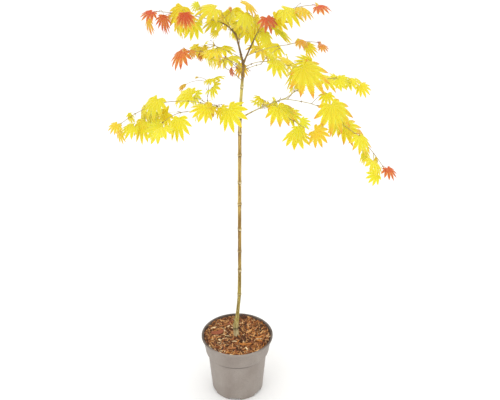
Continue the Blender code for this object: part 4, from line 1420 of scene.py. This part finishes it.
def leafPose(node, stemWay, row, loose, rng):
    # the stalk leaves the stem sideways, and the blade hangs outward from it
    length, turn, droop = row
    topSide = up - stemWay * up.dot(stemWay)
    if topSide.length < leaf["stemIsUpright"]:
        topSide = front - stemWay * front.dot(stemWay)
    turn += rng.uniform(-leaf["turnVaries"], leaf["turnVaries"]) * loose
    side = Matrix.Rotation(math.radians(turn), 3, stemWay) @ topSide.normalized()
    length *= (1 - leaf["shadedLoss"] * max(0, side.y)) * rng.uniform(*leaf["lengthVaries"])
    lift = leaf["stalkLift"] + leaf["eachTryLifts"] * (loose - 1) * rng.uniform(-1, 2)
    stalkWay = (leaf["stalkSideways"] * side + leaf["stalkForward"] * stemWay + lift * up).normalized()
    stalk = leaf["stalkLength"] * length * rng.uniform(*leaf["stalkVaries"])
    middle = node + stalkWay * stalk / 2 - up * stalk * leaf["stalkSag"] / 4
    base = node + stalkWay * stalk - up * stalk * leaf["stalkSag"]
    outward = node - Vector((leaf["crownAxis"], 0, node.z))
    outward.z = 0
    outward = outward.normalized()
    ahead = Vector((stalkWay.x, stalkWay.y, 0))
    ahead = (ahead + outward * leaf["outwardPull"]).normalized()
    droop += rng.uniform(-leaf["droopVaries"], leaf["droopVaries"]) * loose
    spread = 1 - leaf["foldPerDegree"] * max(0, droop - leaf["foldsAboveDroop"])
    droop = math.radians(droop)
    midrib = ahead * math.cos(droop) - up * math.sin(droop)
    light = up * leaf["lightFromAbove"] + outward * leaf["lightFromOutside"] + front * leaf["lightFromFront"]
    facing = (light - midrib * light.dot(midrib)).normalized()
    roll = math.radians(rng.uniform(-leaf["rollVaries"], leaf["rollVaries"]))
    facing = Matrix.Rotation(roll, 3, midrib) @ facing
    return [node, middle, base], (base, midrib, midrib.cross(facing), facing, spread), length


def solidTree(name):
    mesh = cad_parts[name].data
    points = [tuple(vertex.co) for vertex in mesh.vertices]
    return BVHTree.FromPolygons(points, [tuple(face.vertices) for face in mesh.polygons])


def liesOnSolid(solid, pose, length):
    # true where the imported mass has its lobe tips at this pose
    bend = bladeBend(pose)
    for lobe in (0, -2, 2):
        reach = lobeLength(lobe)
        way = bladeWay(pose, math.radians(lobeTurn(lobe)) * pose[4])
        tip = pose[0] + length * (way * reach - bend * reach * reach)
        if solid.find_nearest(tip)[3] > leaf["liesWithin"]:
            return False
    return True


def planLeaves(name, rows, kinds, points):
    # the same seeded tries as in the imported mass; a leaf that found no room there is left out
    solid = solidTree(name)
    leaves = []
    for number, (row, kind) in enumerate(zip(rows, kinds.split())):
        pairShare = (number // 2) / (len(rows) // 2 - 1)
        node, stemWay = pointOn(points, between(growth["firstPairAt"], growth["lastPairAt"], pairShare))
        for attempt in range(leaf["tries"]):
            rng = random.Random(f"{name} {number} {attempt}")
            loose = 1 + leaf["eachTryLooser"] * attempt
            stalk, pose, length = leafPose(node, stemWay, row, loose, rng)
            if liesOnSolid(solid, pose, length):
                leaves.append((stalk, pose, length, leaf["kinds"][kind], f"{name} {number}"))
                break
    return leaves


def lobeCorner(lobe, half, sinus):
    # the corner between this half lobe and its neighbour: angle off the lobe, reach and number
    if abs(lobe) == lastLobe and half * lobe > 0:
        return leaf["basalSpread"], sinus * lobeLength(lobe), None
    apart = abs(lobeTurn(lobe) - lobeTurn(lobe + half)) / 2
    return apart, sinus * (lobeLength(lobe) + lobeLength(lobe + half)) / 2, min(lobe, lobe + half)


def bladePoint(lobe, half, column, row, sinus):
    # a point of the flat blade as x along the midrib and y across, its share along the
    # lobe, its share from the vein to the edge, and how high the pleat lifts it
    inner = leaf["innerRows"]
    long = lobeLength(lobe)
    apart, reach, _ = lobeCorner(lobe, half, sinus)
    apart = math.radians(apart)
    edge = Vector((reach * math.cos(apart), reach * math.sin(apart)))
    if row <= inner:
        share = row / inner
        vein = Vector((sinus * long * share, 0))
        rim = edge * share
        pleat = leaf["pleat"] * share
    else:
        share = (row - inner) / (bladeRows - inner)
        vein = Vector((between(sinus, 1, share) * long, 0))
        width = edge.y * (1 - share) ** leaf["lobeNarrows"] * (1 + leaf["lobeWidens"] * share)
        tooth = (row - inner) % 2
        forward = leaf["toothForward"] * (1 - sinus) * long / (bladeRows - inner) * tooth * (1 - share)
        rim = Vector((between(edge.x, long, share) + forward, width * (1 + leaf["toothDepth"][tooth])))
        pleat = leaf["pleat"] * (1 - share) * leaf["lobePleat"]
    veinEdge = min(leaf["mostVein"], leaf["veinWidth"] / max(rim.y, 0.001))
    across = (0, veinEdge, leaf["halfWay"], 1)[column]
    flat = vein.lerp(rim, across)
    flat.y *= half
    along = flat.x / long
    flat.rotate(Matrix.Rotation(math.radians(lobeTurn(lobe)), 2))
    return flat, along, across, pleat * leaf["pleatRises"][column]


def flatBlade(sinus):
    # the corners and faces that every blade shares: corners with their place on the flat
    # blade, and faces with the lobe, half, share along it, column, row and side of the sheet
    inner = leaf["innerRows"]
    numbers = {}
    corners = []
    faces = []

    def corner(lobe, half, column, row, sheet):
        neighbour = lobeCorner(lobe, half, sinus)[2]
        if row == 0:
            key = ("middle", sheet)
        elif row == bladeRows:
            key = ("tip", lobe)
        elif column == 0:
            key = ("vein", lobe, row, sheet)
        elif column == 3 and row < inner and neighbour is not None:
            key = ("between", neighbour, row, sheet)
        elif column == 3 and row == inner and neighbour is not None:
            key = ("sinus", neighbour)
        elif column == 3:
            key = ("rim", lobe, half, row)
        else:
            key = ("blade", lobe, half, column, row, sheet)
        if key not in numbers:
            flat, along, across, rise = bladePoint(lobe, half, column, row, sinus)
            onRim = key[0] in ("rim", "tip", "sinus")
            numbers[key] = len(corners)
            corners.append((flat, lobe, along, across, rise, 0 if onRim else sheet, column == 0))
        return numbers[key]

    places = [(lobe, half, row, column, sheet) for lobe in range(-lastLobe, lastLobe + 1)
              for half in (-1, 1) for row in range(bladeRows) for column in range(3) for sheet in (1, -1)]
    for lobe, half, row, column, sheet in places:
        around = ((column, row), (column + 1, row), (column + 1, row + 1), (column, row + 1))
        four = [corner(lobe, half, *place, sheet) for place in around]
        if half * sheet < 0:
            four.reverse()
        face = [number for place, number in enumerate(four) if number != four[place - 1]]
        if len(set(face)) > 2:
            faces.append((tuple(face), lobe, half, (row + 0.5) / bladeRows, column, row, sheet))
    return corners, faces


def fineLeaf(store, blades, pose, length, tint, name):
    # the flat blade laid over the hanging one, lobe by lobe; a folded blade is cut deeper
    base, _, _, facing, spread = pose
    bend = bladeBend(pose)
    sinus = leaf["foldedSinus"] if spread < leaf["foldedBelow"] else leaf["sinus"]
    corners, faces = blades[sinus]
    rng = random.Random(f"finish {name}")
    lobes = range(-lastLobe, lastLobe + 1)
    curls = {lobe: rng.uniform(*leaf["tipCurl"]) for lobe in lobes}
    losses = {lobe: 1 - leaf["lobeLoss"] * rng.random() for lobe in lobes}
    # lobes differ most on leaves that have begun to turn red
    differ = leaf["lobesVary" if max(tint) < leaf["turnedFrom"] else "turnedLobesVary"]
    warm = {lobe: rng.uniform(-differ, differ) for lobe in lobes}
    seed = rng.uniform(0, 100)
    points = []
    high, fine = leaf["edgeWave"]
    for flat, lobe, along, share, rise, sheet, isVein in corners:
        reach = flat.length * between(1, losses[lobe], clamp(along * 2 - 1))
        # a folded blade's lobes draw together, and each keeps most of its own width
        outer = clamp((along - sinus) / (1 - sinus))
        free = clamp(outer * leaf["foldsOver"])
        turn = math.radians(lobeTurn(lobe))
        ownTurn = math.atan2(flat.y, flat.x) - turn
        narrow = between(spread, spread ** leaf["foldedLobesNarrow"], free)
        way = bladeWay(pose, turn * spread + ownTurn * narrow)
        lift = rise - curls[lobe] * outer * outer
        lift += leaf["foldedLobesPart"] * (1 - spread) * free * (1 if lobe % 2 else -1)
        lift += high * share * along * noise.noise(Vector((flat.x * fine, flat.y * fine, seed)))
        lift += sheet * leaf["thickness"] / 2 * (leaf["veinLower"] if isVein and sheet < 0 else 1)
        if isVein:
            lift -= leaf["veinSinks"]
        points.append(base + length * (way * reach - bend * reach * reach + facing * lift))
    slots = []
    varied = rng.uniform(-leaf["leafVaries"], leaf["leafVaries"])
    lobeStart = leaf["innerRows"] / bladeRows
    byRow, byLobe, byColumn = leaf["spotFineness"]
    for _, lobe, half, along, column, row, sheet in faces:
        if len(tint) == 2:
            start, over, late = leaf["turnsOver"]
            toTip = clamp((along - start) / over) ** late
        else:
            start, over = leaf["threeTonesOver"]
            inLobe = between(sinus, 1, (along - lobeStart) / (1 - lobeStart))
            far = inLobe if along > lobeStart else sinus * along / lobeStart
            toTip = clamp((far - start) / over)
        value = valueOn(tint, toTip) + between(varied, warm[lobe], toTip)
        if column == 2 and tint[-1] > leaf["rimRedderFrom"]:
            value += leaf["rimRedder"] * along
        spot = Vector((row * byRow, lobe * byLobe + half + column * byColumn, seed))
        value += leaf["tintSpots"] * noise.noise(spot)
        if column == 0 and along < leaf["veinPalerTo"]:
            value -= leaf["veinPaler"]
        if sheet < 0:
            value -= leaf["undersidePaler"]
        slots.append(round(clamp(value, 0, len(leaf["tints"]) - 1)))
    uv = [(share, along) for _, _, along, share, *_ in corners]
    addShape(store, points, [face for face, *_ in faces], slots, uv)


def leafMaterials():
    materials = []
    count, slant, stretch = leaf["sideVeins"]
    for name, colour in leaf["tints"].items():
        material = newMaterial(name, colour, 0.45, leaf["shine"])
        feedShader(material, Subsurface_Weight=leaf["lightThrough"], Subsurface_Radius=leaf["lightSpread"],
                   Subsurface_Scale=leaf["lightDepth"])
        surface = addNode(material, "ShaderNodeUVMap", uv_map="surface").outputs["UV"]
        mapped = addNode(material, "ShaderNodeMapping", Vector=surface,
                         Rotation=(0, 0, math.radians(slant)), Scale=(stretch, 1, 1)).outputs["Vector"]
        veins = addNode(material, "ShaderNodeTexWave", bands_direction="Y",
                        Vector=mapped, Scale=count, Distortion=leaf["veinsWaver"])
        addBump(material, veins.outputs["Fac"], *leaf["bump"])
        addGrain(material, 300, 3, leaf["gloss"])
        materials.append(material)
    return materials


# Twigs and young leaves between the masses

twigs = {
    # what a young leaf grows from and where along it, the blade's base and its tip, its
    # kind and how far it is unfolded
    "youngLeaves": (
        ("bough_lower_right_outer", 1.0, (0.211, 0.0, 0.842), (0.208, -0.014, 0.818), "edged", 0.95),
        ("foliage_mid_right", 1.0, (0.176, 0.03, 0.903), (0.131, 0.036, 0.914), "lemon", 0.6),
        ("foliage_left_rising", 1.0, (-0.11, 0.01, 0.861), (-0.13, 0.004, 0.848), "orange", 0.26),
        ("foliage_left_rising", 1.0, (-0.082, 0.014, 0.875), (-0.093, 0.014, 0.875), "orange", 0.3),
        ("foliage_right_upper", 0.45, (0.156, 0.018, 0.951), (0.185, 0.006, 0.929), "gold", 0.5),
        ("foliage_top_right_inner", 1.0, (0.079, -0.060, 1.003), (0.126, -0.066, 0.976), "lemon", 0.16),
        ("bough_top_left", 0.8, (-0.035, -0.012, 0.983), (-0.055, -0.016, 0.978), "gold", 0.7),
        ("foliage_top_centre_left", 0.9, (-0.007, 0.01, 1.022), (-0.01, 0.01, 1.037), "coral", 0.3),
        ("foliage_top_left", 0.6, (-0.102, -0.062, 1.035), (-0.099, -0.074, 0.990), "flame", 0.75),
        ("foliage_top_left", 0.3, (-0.076, 0.004, 1.041), (-0.096, 0.0, 1.031), "lime", 0.75),
        ("leader_left", 0.12, (0.015, 0.034, 0.904), (0.015, 0.032, 0.867), "amber", 0.5),
        ("foliage_lower_left_inner", 0.5, (-0.052, -0.056, 0.823), (-0.056, -0.062, 0.802), "orange", 0.4),
        ("foliage_mid_left", 0.8, (-0.088, -0.046, 0.953), (-0.094, -0.052, 0.935), "coral", 0.6),
        ("foliage_top_left", 0.95, (-0.146, -0.056, 1.029), (-0.152, -0.064, 1.000), "red", 0.68),
    ),
    "youngArch": 0.12,
    # fine shoots in the leaf axils
    "share": 0.7,
    "length": (0.008, 0.018),
    "radii": (0.0006, 0.0005, 0.0004),
    "sideways": 0.7,
    "lift": 0.0010,
    "budLeans": (-0.5, 0, 0.5),
    "endBudLeans": (-0.4, 0.4),
    # how far the buds sit back in a shoot and in a stem's tip, and ahead and above in an axil
    "shootBudBack": 0.0004,
    "endBudBack": 0.0006,
    "axilBudAt": (0.0008, 0.0006),
    "stalkFoot": 1.5,
    "redStalkFrom": 4.2,
    # bark of the twigs, rings, stalks and buds, in the order of their slots
    "finishes": {
        "young twig": (168, 142, 82),
        "twig ring": (96, 64, 38),
        "green stalk": (206, 196, 74),
        "red stalk": (206, 112, 74),
        "twig bud": (124, 54, 42),
    },
    "gloss": (0.4, 0.65),
    "bump": (0.3, 0.0002),
    "smoothAngle": 50,
}
# the pieces that the leaves are joined into, and how the names of their masses start
regions = {
    "leavesTop": ("foliage_top", "foliage_back_top"),
    "leavesLeft": ("foliage_lower_left", "foliage_left", "foliage_mid_left", "foliage_back_low_left",
                   "foliage_back_mid_left"),
    "leavesRight": ("foliage_right", "foliage_mid_right", "foliage_lower_right", "foliage_front_right",
                    "foliage_fork", "foliage_back_low_right", "foliage_back_mid_right"),
}


def addFineTwigs(store, rng, points, nodeAt):
    for _, base, way, out in sidesAt(rng, points, nodeAt, lambda way: way.orthogonal()):
        length = rng.uniform(*twigs["length"])
        if rng.random() > twigs["share"]:
            continue
        tip = base + (way + out * twigs["sideways"]).normalized() * length
        shoot = addShoot(store, base, tip, twigs["lift"], twigs["radii"])
        side = shoot.cross(out).normalized()
        for lean in twigs["budLeans"]:
            base = tip - shoot * twigs["shootBudBack"]
            addBud(store, base, (shoot + side * lean).normalized(), growth["shootBud"], 4)


def bentStalk(start, middle, end):
    # a smooth curve from the stem, through the stalk's sagging middle, to the blade, and its radii
    control = middle * 2 - (start + end) / 2
    steps = leaf["stalkSteps"]
    shares = [step / steps for step in range(steps + 1)]
    line = [start.lerp(control, share).lerp(control.lerp(end, share), share) for share in shares]
    return line, taper(leaf["stalkRadius"], steps + 1)


def addLeaf(store, wood, blades, name, stalk, pose, length, tint):
    # a leaf with its stalk, which is thicker at its foot, and the bud in its axil
    line, thick = bentStalk(*stalk)
    thick[0] *= twigs["stalkFoot"]
    line[-1] = line[-1] - pose[3] * leaf["stalkBehind"]
    red = sum(tint) / len(tint) > twigs["redStalkFrom"]
    addShape(wood, *tube(line, thick, growth["stalkSides"]), 3 if red else 2)
    way = (line[1] - line[0]).normalized()
    forward, above = twigs["axilBudAt"]
    addBud(wood, line[0] + way * forward + up * above, way, growth["axilBud"], 4)
    fineLeaf(store, blades, pose, length, tint, name)


def addYoungLeaves(lines, store, wood, blades):
    # each is turned to the light on a side twig
    light = up * leaf["lightFromAbove"] + front * leaf["lightFromFront"]
    for number, (limb, at, hilt, tip, kind, spread) in enumerate(twigs["youngLeaves"]):
        start, _ = pointOn(lines[limb][0], at)
        hilt = Vector(hilt)
        tip = Vector(tip)
        length = (tip - hilt).length
        midrib = (tip - hilt + up * leaf["tipsHang"] * length).normalized()
        facing = (light - midrib * light.dot(midrib)).normalized()
        pose = (hilt, midrib, midrib.cross(facing), facing, spread)
        middle = start.lerp(hilt, 0.5) + up * (hilt - start).length * twigs["youngArch"]
        addShape(wood, *tube(*bentStalk(start, middle, hilt), growth["stalkSides"]), 0)
        fineLeaf(store, blades, pose, length, leaf["kinds"][kind], f"young {number}")


def makeFoliage(lines):
    blades = {sinus: flatBlade(sinus) for sinus in (leaf["sinus"], leaf["foldedSinus"])}
    stores = {region: newStore() for region in regions}
    members = {region: [] for region in regions}
    wood = newStore()
    grown = len(twigs["youngLeaves"])
    for name, (limb, at, tip, arch, rows, kinds) in masses.items():
        points, radii, root = growLimb(lines, limb, at, tip, arch, growth["stemRadii"], growth["stemSteps"])
        lines[name] = (points, radii)
        rng = random.Random(f"twig {name}")
        nodeAt = taper((growth["firstPairAt"], growth["lastPairAt"]), len(rows) // 2)
        slim = [radius * growth["stemWidth"] for radius in radii]
        fineLimb(wood, rng, root, points, slim, growth["twigSides"], (0, 1), nodeAt)
        addFineTwigs(wood, rng, points, nodeAt[:-1])
        ahead = (points[-1] - points[-2]).normalized()
        for lean in twigs["endBudLeans"]:
            way = (ahead + ahead.cross(up).normalized() * lean).normalized()
            addBud(wood, points[-1] - ahead * twigs["endBudBack"], way, growth["endBud"], 4)
        region = next(key for key, starts in regions.items() if name.startswith(starts))
        members[region].append(name)
        for stalk, pose, length, tint, leafName in planLeaves(name, rows, kinds, points):
            addLeaf(stores[region], wood, blades, leafName, stalk, pose, length, tint)
            grown += 1
    addYoungLeaves(lines, stores["leavesTop"], wood, blades)
    print(f"{grown} leaves have grown")
    materials = leafMaterials()
    for region, store in stores.items():
        piece = storeToPiece(store, region, materials, leaf["smoothAngle"])
        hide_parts(*members[region])
    materials = []
    for name, colour in twigs["finishes"].items():
        material = newMaterial(name, colour, 0.5)
        addGrain(material, 800, 3, twigs["gloss"], twigs["bump"])
        materials.append(material)
    piece = storeToPiece(wood, "twigsAndStalks", materials, twigs["smoothAngle"])
    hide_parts(*masses)


def growTree():
    makeTrunk()
    lines = {"trunk": trunkLine()}
    roots = {}
    for name, (parent, at, tip, arch, radii) in limbs.items():
        points, thick, root = growLimb(lines, parent, at, tip, arch, radii, growth["limbSteps"])
        lines[name] = (points, thick)
        roots[name] = root
    makeLimbs(lines, roots)
    makeFoliage(lines)


makeStudio()
makePot()
makeBed()
makeChips()
growTree()
